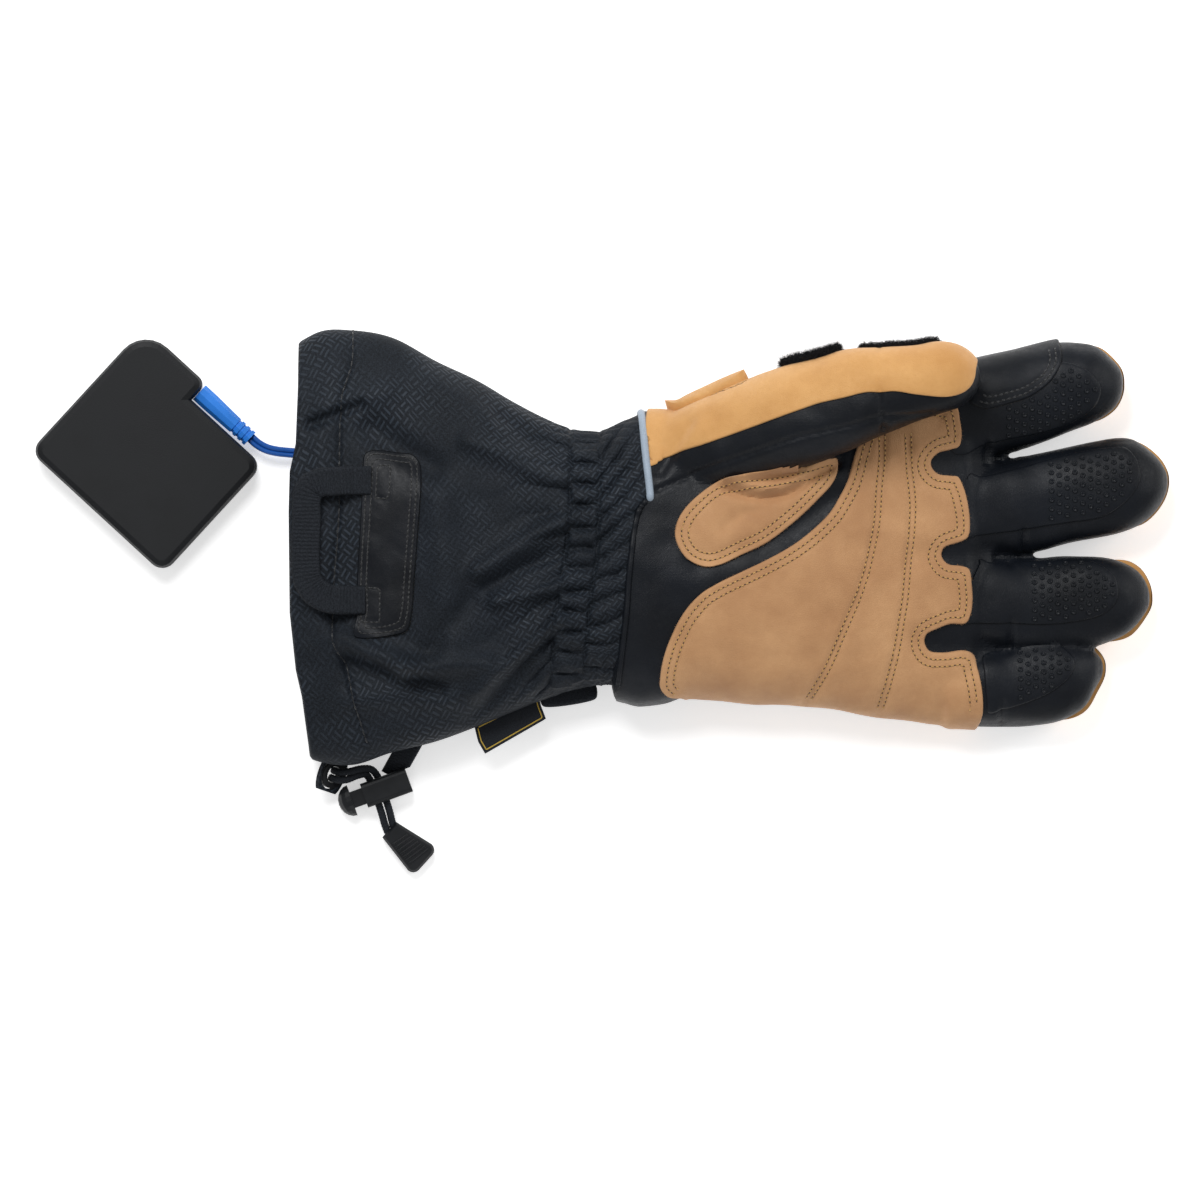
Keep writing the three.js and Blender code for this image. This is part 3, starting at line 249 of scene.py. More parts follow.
def bake_modifiers(piece):
    """Replaces the piece's mesh by what its modifiers make of it."""
    graph = bpy.context.evaluated_depsgraph_get()
    made = bpy.data.meshes.new_from_object(piece.evaluated_get(graph))
    old = piece.data
    piece.modifiers.clear()
    piece.data = made
    bpy.data.meshes.remove(old)


def tree_of(verts, faces):
    return BVHTree.FromPolygons(np.asarray(verts).tolist(), faces)


def tree_on(piece):
    """A piece's surface, for laying other pieces on it."""
    verts, _, faces = read_mesh(piece)
    return tree_of(verts, faces)


# Skins: lofted forms that flat pieces are laid on

class Skin:
    """A lofted form read by x and by the distance s round it, from its thumb-side edge over the top."""

    def __init__(self, rings):
        self.rings = rings
        self.x = rings[:, 0, 0]
        loop = np.concatenate((rings, rings[:, :1]), axis=1)
        gaps = np.linalg.norm(np.diff(loop, axis=1), axis=2)
        self.arc = np.concatenate((np.zeros((len(rings), 1)), np.cumsum(gaps, axis=1)), axis=1)
        self.loop = loop
        self.half = rings.shape[1] // 2
        self.top = self.arc[:, self.half]

    def _between(self, x):
        k = np.clip(np.searchsorted(self.x, x, "right") - 1, 0, len(self.x) - 2)
        return k, np.clip((x - self.x[k]) / (self.x[k + 1] - self.x[k]), 0, 1)

    def s_of(self, x, y):
        """Distance round the form of a point seen from above; past an edge it runs on down the side."""
        k, t = self._between(x)
        out = np.zeros(len(x))
        top = np.interp(x, self.x, self.top)
        for row in np.unique(k):
            here = k == row
            shares = []
            for r in (row, row + 1):
                ys = self.loop[r, :self.half + 1, 1]
                shares.append(np.interp(-y[here], -ys, self.arc[r, :self.half + 1]) / self.top[r])
            out[here] = shares[0] * (1 - t[here]) + shares[1] * t[here]
        out *= top
        high = np.interp(x, self.x, self.loop[:, 0, 1])
        low = np.interp(x, self.x, self.loop[:, self.half, 1])
        return out - np.maximum(0, y - high) + np.maximum(0, low - y)

    def at(self, x, s):
        """Points of the form."""
        k, t = self._between(x)
        share = s / np.interp(x, self.x, self.top)
        out = np.zeros((len(x), 3))
        for row in np.unique(k):
            here = k == row
            ends = []
            for r in (row, row + 1):
                total = self.arc[r, -1]
                at = np.mod(share[here] * self.top[r], total)
                ends.append([np.interp(at, self.arc[r], self.loop[r, :, c]) for c in range(3)])
            first, second = np.array(ends[0]).T, np.array(ends[1]).T
            out[here] = first * (1 - t[here, None]) + second * t[here, None]
        return out

    def normals(self, x, s, reach=0.8):
        ahead = self.at(x + reach, s) - self.at(x - reach, s)
        round_it = self.at(x, s + reach) - self.at(x, s - reach)
        normal = np.cross(round_it, ahead)
        return normal / np.maximum(np.linalg.norm(normal, axis=1), 1e-9)[:, None]


def drape(skin, tree, flat, reach=5.0, depth=14.0):
    """Where points given by (x, s) land on a mesh below the skin, with the skin's normals there."""
    base = skin.at(flat[:, 0], flat[:, 1])
    normals = skin.normals(flat[:, 0], flat[:, 1])
    landed = base.copy()
    reach = reach(flat) if callable(reach) else np.full(len(flat), reach)
    for i, (p, n, high) in enumerate(zip(base, normals, reach)):
        way = Vector(-n)
        hit = tree.ray_cast(Vector(p + n * high), way, depth + high)
        while hit[0] is not None and hit[1].dot(way) > 0:
            hit = tree.ray_cast(hit[0] + way * PAST_UNDERSIDE, way, depth + high)
        if hit[0] is not None:
            landed[i] = hit[0]
    return landed, normals


def to_flat(skin, plan):
    """A line in plan as (x, s) on a skin."""
    return np.column_stack((plan[:, 0], skin.s_of(plan[:, 0], plan[:, 1])))


def inward(line, centre_side):
    """Unit normals of a line, turned to the chosen side."""
    along = np.gradient(line, axis=0)
    normal = np.column_stack((-along[:, 1], along[:, 0]))
    normal /= np.maximum(np.linalg.norm(normal, axis=1), 1e-9)[:, None]
    return normal * centre_side


def side_of(line, outline):
    """+1 or -1: which normal of a line on an outline's edge points into it."""
    mid = len(line) // 2
    probe = line[mid:mid + 1] + inward(line, 1)[mid:mid + 1] * 1.0
    return 1 if inside(probe, outline)[0] else -1


def offset_line(line, outline, by):
    """A line moved into an outline by a distance, without the loops of tight corners."""
    moved = line + inward(line, side_of(line, outline)) * by
    keep = distance_to(moved, line) > 0.97 * by
    return resample(moved[keep], 0.4)


def sheet(name, skin, tree, outline, thick, material, grid=1.1, relief=None, reach=5.0, edge=0.5, sink=0.5):
    """A flat piece laid on a mesh: its outline is closed, in (x, s); relief adds height from (x, s)."""
    low, high = outline.min(0), outline.max(0)
    xs = np.arange(low[0] + grid / 2, high[0], grid)
    ss = np.arange(low[1] + grid / 2, high[1], grid)
    mesh_x, mesh_s = np.meshgrid(xs, ss)
    mesh_x[1::2] += grid / 2
    flat = np.column_stack((mesh_x.ravel(), mesh_s.ravel()))
    flat = flat[inside(flat, outline)]
    closed = np.vstack((outline, outline[:1]))
    flat = flat[distance_to(flat, closed) > 1.5 * edge]
    inwards = inward(closed, side_of(closed, outline))[:-1]
    rim = np.vstack([outline + inwards * d for d in (0.45 * edge, 1.1 * edge)])
    rim = rim[inside(rim, outline)]
    away = distance_to(rim, closed)
    rim = rim[away > 0.4 * edge]
    points = np.vstack((outline, rim, flat))
    count = len(outline)
    loop = [(i, (i + 1) % count) for i in range(count)]
    made = delaunay_2d_cdt([Vector(p) for p in points], loop, [list(range(count))], 1, 1e-4)
    flat = np.array([tuple(p) for p in made[0]])
    triangles = [tuple(f) for f in made[2]]
    away = distance_to(flat, closed)
    away[inside(flat, outline) & (away < 1e-6)] = 0
    rolled = np.sqrt(1 - (1 - np.clip(away / (1.2 * edge), 0, 1)) ** 2)
    rise = thick * (RIM_SHARE + (1 - RIM_SHARE) * rolled)
    if relief is not None:
        rise = rise + relief(flat) * ease(away, 0, edge)
    ground, normals = drape(skin, tree, flat, reach)
    top = ground + normals * rise[:, None]
    base = ground - normals * sink
    on_rim = away < 1e-4
    verts = np.vstack((top, base))
    n = len(top)
    faces = list(triangles)
    faces += [(n + c, n + b, n + a) for a, b, c in triangles]
    used = dict.fromkeys(pair for a, b, c in triangles for pair in ((a, b), (b, c), (c, a)))
    for a, b in used:
        if (b, a) not in used and on_rim[a] and on_rim[b]:
            faces.append((b, a, n + a, n + b))
    piece = add_object(name, verts, faces, material, SHEET_CREASE)
    orient(piece)
    return piece


def orient(piece):
    """Turns all faces outwards."""
    mesh = bmesh.new()
    mesh.from_mesh(piece.data)
    bmesh.ops.recalc_face_normals(mesh, faces=mesh.faces)
    mesh.to_mesh(piece.data)
    mesh.free()


def solid(name, mesh, material, slot, *nodes, **look):
    """A closed piece from its (verts, faces), turned outwards and placed."""
    piece = add_object(name, *mesh, material, **look)
    orient(piece)
    return place(piece, slot, *nodes)


def lay(name, skin, tree, outline, thick, material, slot, *nodes, **how):
    """Lays a sheet and places it, and gives its surface for what goes on it."""
    return tree_on(place(sheet(name, skin, tree, outline, thick, material, **how), slot, *nodes))


def stitch_mesh(places, ways, normals, length, width, sides=6):
    """Short rounded threads, one at each place."""
    profile = np.array([(-0.5, 0.25), (-0.36, 0.8), (0.0, 1.0), (0.36, 0.8), (0.5, 0.25)])
    angles = np.linspace(0, 2 * math.pi, sides, endpoint=False)
    side = np.cross(normals, ways)
    side /= np.maximum(np.linalg.norm(side, axis=1), 1e-9)[:, None]
    verts = []
    for along, size in profile:
        for angle in angles:
            out = side * math.cos(angle) + normals * math.sin(angle) * 0.8
            verts.append(places + ways * along * length + out * size * width / 2)
    verts = np.array(verts).transpose(1, 0, 2)
    each = len(profile) * sides
    faces = ring_faces(len(profile), sides)
    faces += [tuple(reversed(range(sides))), tuple(range(each - sides, each))]
    every = [tuple(i + n * each for i in f) for n in range(len(places)) for f in faces]
    return verts.reshape(-1, 3), every


def sew(name, skin, tree, lines, thread, hole_shade, pitch, width, reach=4.0, lift=0.12, share=0.62):
    """Rows of stitches along lines in (x, s), with a dark dash between each two: painted shade standing for the
    needle hole's shadow.
    """
    rng = np.random.default_rng(RANDOM_SEED)
    thread_parts, hole_shade_parts = [], []
    for line in lines:
        even = resample(line, pitch)
        middle = (even[1:] + even[:-1]) / 2
        spots, normals = drape(skin, tree, middle, reach)
        ends, _ = drape(skin, tree, even, reach)
        ways = ends[1:] - ends[:-1]
        ways /= np.maximum(np.linalg.norm(ways, axis=1), 1e-9)[:, None]
        side = np.cross(normals, ways)
        ways = ways + side * rng.normal(0.0, 0.07, (len(ways), 1))
        thread_parts.append(stitch_mesh(spots + normals * lift, ways, normals, pitch * share, width))
        # Dark dashes on the surface between the stitches: painted shade for the needle holes' shadow
        hole_shade_parts.append(stitch_mesh(ends[1:-1] + normals[1:] * 0.02, ways[1:], normals[1:],
                                      pitch * (1.12 - share), width * 0.8, sides=5))
    verts, faces = join_parts(thread_parts)
    hole_shade_verts, hole_shade_faces = join_parts(hole_shade_parts)
    both, every = join_parts([(verts, faces), (hole_shade_verts, hole_shade_faces)])
    piece = add_object(name, both, every, [thread, hole_shade])
    index = np.zeros(len(every), np.int32)
    index[len(faces):] = 1
    piece.data.polygons.foreach_set("material_index", index)
    return piece


def fibres(name, roots, ways, length, width, material, seed=1, spread=0.5, bend=0.5):
    """Fine loose hairs: three-sided tapering strands that start at the roots."""
    rng = np.random.default_rng(seed)
    count = len(roots)
    ways = ways + rng.normal(0, spread, (count, 3))
    ways /= np.linalg.norm(ways, axis=1)[:, None]
    turn = rng.normal(0, bend, (count, 3))
    reach = length * rng.uniform(0.35, 1.0, (count, 1))
    middle = roots + ways * reach * 0.5
    tip = middle + (ways + turn) * reach * 0.5
    side = np.cross(ways, rng.normal(0, 1, (count, 3)))
    side /= np.maximum(np.linalg.norm(side, axis=1), 1e-9)[:, None]
    other = np.cross(ways, side)
    verts = []
    for centre, size in ((roots, 1.0), (middle, 0.7)):
        for angle in (0, 2 * math.pi / 3, 4 * math.pi / 3):
            verts.append(centre + (side * math.cos(angle) + other * math.sin(angle)) * width / 2 * size)
    verts.append(tip)
    verts = np.array(verts).transpose(1, 0, 2)
    faces = [(0, 2, 1), (0, 1, 4, 3), (1, 2, 5, 4), (2, 0, 3, 5), (3, 4, 6), (4, 5, 6), (5, 3, 6)]
    every = [tuple(i + n * 7 for i in f) for n in range(count) for f in faces]
    return add_object(name, verts.reshape(-1, 3), every, material)


# Materials

def linear(colour):
    """sRGB hex to linear colour; a colour from the sidebar is linear already."""
    if not isinstance(colour, str):
        return [*colour, 1.0]
    parts = [int(colour[i:i + 2], 16) / 255 for i in (1, 3, 5)]
    return [c / 12.92 if c <= 0.04045 else ((c + 0.055) / 1.055) ** 2.4 for c in parts] + [1.0]


def add(tree, kind, links=None, **settings):
    """One node with its settings; links maps an input to a socket or a plain value."""
    made = tree.nodes.new(kind)
    for key, value in settings.items():
        setattr(made, key, value)
    for key, value in (links or {}).items():
        if isinstance(value, bpy.types.NodeSocket):
            tree.links.new(value, made.inputs[key])
        else:
            made.inputs[key].default_value = value
    return made


def start_material(name, roughness, **sockets):
    """A material with its shader, its output and coordinates in millimetres."""
    made = bpy.data.materials.new(name)
    made.use_nodes = True
    tree = made.node_tree
    tree.nodes.clear()
    shader = add(tree, "ShaderNodeBsdfPrincipled", {"Roughness": roughness, **sockets})
    add(tree, "ShaderNodeOutputMaterial", {"Surface": shader.outputs[0]})
    place_in = add(tree, "ShaderNodeTexCoord")
    size = add(tree, "ShaderNodeVectorMath", {0: place_in.outputs["Object"], 1: (1 / MM,) * 3},
               operation="MULTIPLY")
    return made, tree, shader, size.outputs[0]


def noise_at(tree, where, size_mm, detail=3.0, rough=0.55):
    """Noise whose lumps are about that many millimetres."""
    return add(tree, "ShaderNodeTexNoise", {"Vector": where, "Scale": 1 / size_mm, "Detail": detail,
                                            "Roughness": rough}).outputs["Fac"]


def span(tree, value, low, high, to_low=0.0, to_high=1.0):
    return add(tree, "ShaderNodeMapRange", {"Value": value, "From Min": low, "From Max": high,
                                            "To Min": to_low, "To Max": to_high}).outputs[0]


def math_on(tree, operation, first, second=0.0):
    return add(tree, "ShaderNodeMath", {0: first, 1: second}, operation=operation).outputs[0]


def mixed(tree, share, first, second):
    """Colour between two colours."""
    made = add(tree, "ShaderNodeMix", {"Factor": share}, data_type="RGBA")
    for socket, value in ((made.inputs[6], first), (made.inputs[7], second)):
        if isinstance(value, bpy.types.NodeSocket):
            tree.links.new(value, socket)
        else:
            socket.default_value = value
    return made.outputs[2]


def bump(tree, shader, height, distance_mm, strength=1.0, after=None):
    links = {"Height": height, "Distance": distance_mm * MM, "Strength": strength}
    if after is not None:
        links["Normal"] = after
    made = add(tree, "ShaderNodeBump", links)
    tree.links.new(made.outputs[0], shader.inputs["Normal"])
    return made.outputs[0]


def softshell_material(colours):
    """Woven polyester softshell, calendered: dull near-black cloth with a pressed basket of short
    bars, two by two, that catch the light a little more than the ground does."""
    made, tree, shader, where = start_material(
        "polyester_softshell_embossed", 0.62, **{"Specular IOR Level": 0.16})
    bar_cell = 3.6
    uv = add(tree, "ShaderNodeUVMap", uv_map="cloth").outputs[0]
    turned = add(tree, "ShaderNodeVectorRotate", {"Vector": uv, "Angle": math.radians(-34)},
                 rotation_type="Z_AXIS").outputs[0]
    scaled = add(tree, "ShaderNodeVectorMath", {0: turned, 1: (1 / bar_cell,) * 3}, operation="MULTIPLY")
    parts = add(tree, "ShaderNodeSeparateXYZ", {0: scaled.outputs[0]})
    across, along = parts.outputs[0], parts.outputs[1]
    cell = math_on(tree, "ADD", math_on(tree, "FLOOR", across), math_on(tree, "FLOOR", along))
    odd = math_on(tree, "GREATER_THAN", math_on(tree, "MODULO", math_on(tree, "ABSOLUTE", cell), 2.0), 0.5)

    def bars(length_way, width_way):
        """Two bars side by side in each cell."""
        end = math_on(tree, "ABSOLUTE", math_on(tree, "SUBTRACT", math_on(tree, "FRACT", length_way), 0.5))
        twice = math_on(tree, "FRACT", math_on(tree, "MULTIPLY", width_way, 2.0))
        side = math_on(tree, "ABSOLUTE", math_on(tree, "SUBTRACT", twice, 0.5))
        return math_on(tree, "MULTIPLY", span(tree, end, 0.43, 0.36), span(tree, side, 0.23, 0.14))

    first, second = bars(across, along), bars(along, across)
    chosen = add(tree, "ShaderNodeMix", {"Factor": odd, 2: first, 3: second}).outputs[0]
    worn = span(tree, noise_at(tree, where, 28.0, 2.0), 0.36, 0.62, 0.05, 1.0)
    raised = math_on(tree, "MULTIPLY", chosen, worn)
    weave = noise_at(tree, where, 0.5, 2.0)
    cloudy = noise_at(tree, where, 22.0, 3.0)
    ground = mixed(tree, span(tree, cloudy, 0.3, 0.7), linear(colours["shell_dark"]), linear(colours["shell"]))
    speckled = mixed(tree, span(tree, weave, 0.35, 0.75, 0.0, 0.35), ground, linear(colours["shell_bar"]))
    tree.links.new(mixed(tree, math_on(tree, "MULTIPLY", raised, 0.6), speckled, linear(colours["shell_bar"])),
                   shader.inputs["Base Color"])
    tree.links.new(span(tree, raised, 0, 1, 0.68, 0.48), shader.inputs["Roughness"])
    fine = bump(tree, shader, weave, 0.08, 0.6)
    bump(tree, shader, raised, 0.2, 0.7, fine)
    return made


def leather_material(name, dark, light, grain_mm, roughness, sheen, blotch_mm=26.0, depth=0.1, shine=0.4):
    """Finished leather: broad cloudy dyeing, fine pores and small pebble grain."""
    made, tree, shader, where = start_material(
        name, roughness, **{"Sheen Weight": sheen, "Sheen Roughness": 0.5, "Specular IOR Level": shine})
    blotch = noise_at(tree, where, blotch_mm, 4.0, 0.6)
    fleck = noise_at(tree, where, 1.6, 3.0, 0.6)
    colour = mixed(tree, span(tree, blotch, 0.34, 0.66), linear(dark), linear(light))
    pores = add(tree, "ShaderNodeTexVoronoi", {"Vector": where, "Scale": 1 / grain_mm},
                feature="DISTANCE_TO_EDGE").outputs["Distance"]
    shade = mixed(tree, span(tree, fleck, 0.3, 0.7, 0.0, 0.22), colour, linear(dark))
    tree.links.new(shade, shader.inputs["Base Color"])
    grain = bump(tree, shader, span(tree, pores, 0.0, 0.25), depth, 0.5)
    bump(tree, shader, noise_at(tree, where, 5.0, 4.0), 0.3, 0.35, grain)
    tree.links.new(span(tree, fleck, 0.3, 0.7, roughness - 0.07, roughness + 0.07), shader.inputs["Roughness"])
    return made


def fuzzy_material(name, dark, light, lump_mm, roughness=0.95):
    """Napped or looped pile: matt, with soft lumps and a dusty edge where light grazes it."""
    made, tree, shader, where = start_material(
        name, roughness, **{"Sheen Weight": 0.06, "Sheen Roughness": 0.6, "Specular IOR Level": 0.1})
    lump = noise_at(tree, where, lump_mm, 4.0, 0.7)
    tree.links.new(mixed(tree, span(tree, lump, 0.35, 0.7), linear(dark), linear(light)),
                   shader.inputs["Base Color"])
    bump(tree, shader, lump, lump_mm * 0.5, 1.0)
    return made


def moulded_material(name, colour, roughness, grain_mm=0.4, depth=0.04):
    """Moulded plastic or rubber: one even colour, faint spark-eroded texture, slight wear."""
    made, tree, shader, where = start_material(name, roughness, **{"Specular IOR Level": 0.3})
    cloud = noise_at(tree, where, 9.0, 3.0)
    fine = noise_at(tree, where, grain_mm, 2.0)
    base = linear(colour)
    lighter = [min(1, c * 1.35 + 0.004) for c in base[:3]] + [1.0]
    tree.links.new(mixed(tree, span(tree, cloud, 0.35, 0.75, 0, 0.6), base, lighter), shader.inputs["Base Color"])
    tree.links.new(span(tree, cloud, 0.3, 0.7, roughness - 0.05, roughness + 0.06), shader.inputs["Roughness"])
    bump(tree, shader, fine, depth, 0.5)
    return made


def thread_material(name, colour, roughness=0.5):
    """Twisted sewing thread: a slight shine with fine diagonal shadow."""
    made, tree, shader, where = start_material(name, roughness, **{"Sheen Weight": 0.3})
    twist = noise_at(tree, where, 0.3, 1.0)
    base = linear(colour)
    darker = [c * 0.55 for c in base[:3]] + [1.0]
    tree.links.new(mixed(tree, span(tree, twist, 0.3, 0.7), darker, base), shader.inputs["Base Color"])
    bump(tree, shader, twist, 0.05, 0.6)
    return made


def woven_material(name, dark, light, rib_mm, roughness=0.8):
    """Woven tape: rows of yarn, dull black with lighter crowns."""
    made, tree, shader, where = start_material(name, roughness, **{"Specular IOR Level": 0.15})
    yarn = noise_at(tree, where, rib_mm, 3.0, 0.7)
    tree.links.new(mixed(tree, span(tree, yarn, 0.3, 0.7), linear(dark), linear(light)),
                   shader.inputs["Base Color"])
    bump(tree, shader, yarn, rib_mm * 0.25, 0.7)
    return made


COLOURS = {
    "shell": "#13171d", "shell_dark": "#0d1014", "shell_bar": "#3a424c",
    "leather": "#13171e", "leather_dark": "#0c0f14",
    "tan": "#c99a6c", "tan_dark": "#b08157", "tan_edge": "#dcb07c",
    "back": "#dba767", "back_dark": "#c58f50",
    "suede": "#0f1013", "suede_light": "#212226", "cut_edge": "#6a6257",
    "piping": "#a9b6c4", "webbing": "#101216", "webbing_light": "#2c3036",
    # The two needle-hole colours are painted shade: the dark of the needle holes' shadow between stitches
    "thread_tan": "#d3a45c", "needle_hole_shade": "#4a2f17", "thread_black": "#15171b", "hole_shade_black": "#050608",
    "plastic": "#15171a", "rubber": "#0f1114", "plug": "#2b7bd8", "lead": "#1b55a6",
    "label": "#15161a", "label_border": "#d9b437",
}


def make_materials():
    c = COLOURS
    made = {
        "shell": softshell_material(c),
        # Synthetic leather, knife coated: smooth, blue-black, with soft highlights along folds
        "leather": leather_material("synthetic_leather_black", c["leather_dark"], c["leather"], 0.5, 0.42, 0.0,
                                    30.0, 0.05, 0.22),
        # Drum-dyed goatskin: warm tan with paler and browner clouds and a tight pebble grain
        "tan": leather_material("goatskin_tan", c["tan_dark"], c["tan"], 0.7, 0.72, 0.2),
        # The same skin, dyed yellower, on the thumb's back and behind the fingertips
        "back": leather_material("goatskin_yellow", c["back_dark"], c["back"], 0.7, 0.68, 0.2),
        # Cut leather edge: raw fibres that look lighter and rough
        "tan_edge": fuzzy_material("goatskin_cut_edge", c["tan_dark"], c["tan_edge"], 0.5),
        "cut_edge": fuzzy_material("black_leather_cut_edge", c["suede"], c["cut_edge"], 0.6),
        # Split leather, napped: dead matt black that hides its surface
        "suede": fuzzy_material("split_suede_black", c["suede"], c["suede_light"], 0.8),
        # Looped cotton: a lumpy black pile with a soft outline
        "terry": fuzzy_material("cotton_terry_black", c["suede"], c["suede_light"], 1.2),
        # Woven nylon: dull black ribs with paler crowns; the braid and the label are finer
        "webbing": woven_material("nylon_webbing_black", c["webbing"], c["webbing_light"], 0.5),
        "cord": woven_material("braided_cord_black", c["webbing"], c["webbing_light"], 0.4),
        "label": woven_material("woven_label_black", c["label"], c["webbing_light"], 0.35, 0.7),
        # Sewing yarns: a little sheen against the matt leather; the needle-hole pieces are painted shade, dark
        # dashes between the stitches where the holes' shadow falls
        "border": thread_material("label_border_yarn", c["label_border"], 0.6),
        "tan_thread": thread_material("polyester_thread_gold", c["thread_tan"]),
        "hole_shade": thread_material("needle_hole_shade_brown", c["needle_hole_shade"], 0.9),
        "black_thread": thread_material("polyester_thread_black", c["thread_black"], 0.4),
        "black_hole_shade": thread_material("needle_hole_shade_black", c["hole_shade_black"], 0.9),
        # Injection moulded: satin black on the lock, soft matt on the pack, glossier blue on the wire
        "plastic": moulded_material("acetal_moulded_black", c["plastic"], 0.38),
        "rubber": moulded_material("silicone_moulded_black", c["rubber"], 0.55, 0.5, 0.05),
        "plug": moulded_material("pvc_plug_blue", c["plug"], 0.35, 0.6, 0.02),
        "lead": moulded_material("pvc_wire_blue", c["lead"], 0.32, 0.6, 0.01),
        # Glass-bead tape: pale grey, a little brighter than plain cloth
        "piping": woven_material("retroreflective_piping", "#8e9cab", c["piping"], 0.35, 0.38),
    }
    BUILT["materials"] = made
    return made


def stuff(name):
    return BUILT["materials"][name]


# The glove's forms, with the solids' own sizes and tables

WRIST = {"x": -47.0, "width": 90.4, "height": 39.0}
GAUNTLET = {"length": 119.5, "hem_width": 155.4, "hem_height": 35.0, "wall": 2.6}
HAND = {"length": 127.4, "palm": 39.0, "knuckle": 29.0, "wall": 3.0}
SECTION = {"fullness": 2.4, "waist": 0.42, "belly": 1.25}
THUMB_FULLNESS = 2.15

# Under the thumb: lower than this, and past this point, the palm's folds fade
THUMB_UNDERSIDE = 34.0
THUMB_ROOT = (10.0, 38.0)
# The hand's edge that is turned into the wrist seam shrinks towards the middle by these shares
TURNED_IN = {"sides": 0.11, "top": 0.17, "middle": 16.0}
VOXEL = {"skin": 1.1, "hollow": 2.4}
KNUCKLE_X = WRIST["x"] + HAND["length"]
# The finger stalls start this far inside the hand
ROOT_X = KNUCKLE_X - 14.0
HEM_HALF = GAUNTLET["hem_width"] / 2

# Share of the gauntlet's length from the wrist seam, and there: flare, sideways shift, height
FLARE = [(-0.03, 0.11), (0.01, 0.065), (0.091, 0.0), (0.169, 0.037), (0.234, 0.126), (0.345, 0.314),
         (0.444, 0.498), (0.569, 0.692), (0.71, 0.895), (0.826, 1.0), (0.922, 0.978), (1.0, 0.85)]
SHIFT = [(-0.03, -0.008), (0.01, -0.012), (0.091, -0.024), (0.169, -0.027), (0.234, -0.025),
         (0.345, -0.02), (0.444, -0.013), (0.569, -0.008), (0.71, 0.007), (0.826, 0.001),
         (0.922, 0.003), (1.0, -0.001)]
CUFF_HEIGHT = [(-0.03, 0.0), (0.01, 0.0), (0.091, 0.05), (0.169, 0.1), (0.234, 0.0), (0.345, -0.3),
               (0.444, -0.4), (0.569, -0.3), (0.71, 0.0), (0.826, 0.5), (0.922, 0.8), (1.0, 1.0)]

# Folds of the gauntlet: both ends in pixels, height and half width
CUFF_FOLDS = [
    ((312, 425), (360, 406), -1.6, 2.2), ((330, 410), (385, 392), 0.9, 4.5),
    ((374, 431), (432, 468), -1.6, 5.5), ((345, 641), (404, 669), 3.0, 5.0),
    ((404, 669), (486, 664), 2.4, 4.5), ((352, 662), (440, 690), -1.8, 3.0),
    ((350, 700), (450, 698), 1.2, 4.5), ((565, 519), (478, 571), 2.0, 3.6),
    ((560, 548), (486, 588), -1.0, 2.6), ((560, 585), (498, 602), 1.6, 2.8),
    ((556, 622), (478, 692), 2.2, 3.8), ((548, 640), (470, 720), -1.2, 3.0),
    ((560, 480), (470, 440), 1.6, 4.0), ((566, 462), (500, 418), -1.0, 3.0),
    ((440, 500), (450, 640), 1.4, 7.0), ((430, 380), (500, 430), 1.2, 5.0),
    ((318, 540), (318, 640), 0.8, 5.0), ((470, 600), (430, 652), -1.0, 4.0),
]
HEM_EDGE_PX = [(299, 330), (301, 346), (301, 388), (299, 444), (293, 471), (292, 511), (293, 614),
               (299, 671), (305, 696), (311, 740), (316, 790)]
HEM_STITCH_PX = [(353, 322), (352, 364), (344, 390), (341, 413), (340, 444), (340, 500), (338, 540),
                 (335, 576), (335, 642), (346, 665), (355, 703), (368, 746), (374, 765)]
GATHER_OUT_PX = [(572, 420), (570, 445), (570, 519), (561, 582), (554, 619), (552, 662), (550, 700)]
GATHER_IN_PX = [(602, 420), (600, 440), (598, 549), (591, 597), (585, 658), (583, 700)]
SEAM_PX = [(639, 380), (641, 411), (645, 460), (650, 495), (637, 510), (628, 564), (624, 614), (616, 684),
           (612, 730)]
# The folds' heights above are for a slack cuff; this one is pulled in by its elastic
FOLD_GAIN = 2.4
HEM = {"sink": 1.5, "half": 1.0, "beside": 3.0, "puff": 1.3, "puff_at": 6.0, "puff_half": 4.5, "pitch": 3.4}

# Wrist gathers: puckers round the wrist and the Y that they fan out from, then heights between the
# stitch rows and on either side, and how far they run there
GATHERS = {"puckers": 12.0, "middle": -5.0, "fan": 0.018, "between": 4.0, "cuff_side": 3.2, "hand_side": 3.1,
           "cuff_run": 13.0, "hand_run": 15.0, "stitch_sink": 0.9, "crumple_run": 14.0}

# Finger stalls, read as outlines from the root over the tip and back, with the stall's thickness
FINGER_PX = {
    "index": [(960, 367), (977, 361), (1014, 352), (1042, 346), (1059, 342), (1075, 342), (1096, 346),
              (1114, 360), (1122, 371), (1124, 384), (1122, 396), (1115, 408), (1096, 421), (1074, 430),
              (1045, 442), (1014, 452), (984, 461), (960, 466)],
    "middle": [(960, 465), (985, 461), (1016, 458), (1058, 449), (1092, 442), (1118, 438), (1132, 439),
               (1144, 446), (1161, 461), (1168, 475), (1168, 487), (1163, 501), (1151, 516), (1132, 529),
               (1092, 539), (1063, 545), (1035, 552), (1002, 556), (960, 560)],
    "ring": [(960, 554), (1001, 555), (1019, 559), (1038, 559), (1063, 556), (1087, 556), (1111, 559),
             (1130, 565), (1141, 573), (1149, 588), (1150, 604), (1143, 617), (1130, 632), (1111, 642),
             (1086, 649), (1040, 652), (1000, 653), (960, 654)],
    "little": [(960, 650), (1000, 646), (1032, 641), (1055, 639), (1078, 642), (1095, 651), (1103, 662),
               (1103, 675), (1095, 691), (1086, 706), (1071, 717), (1055, 723), (1032, 726), (1001, 727),
               (960, 726)],
}
FINGER_THICK = {"index": 26.0, "middle": 26.0, "ring": 25.0, "little": 24.0}
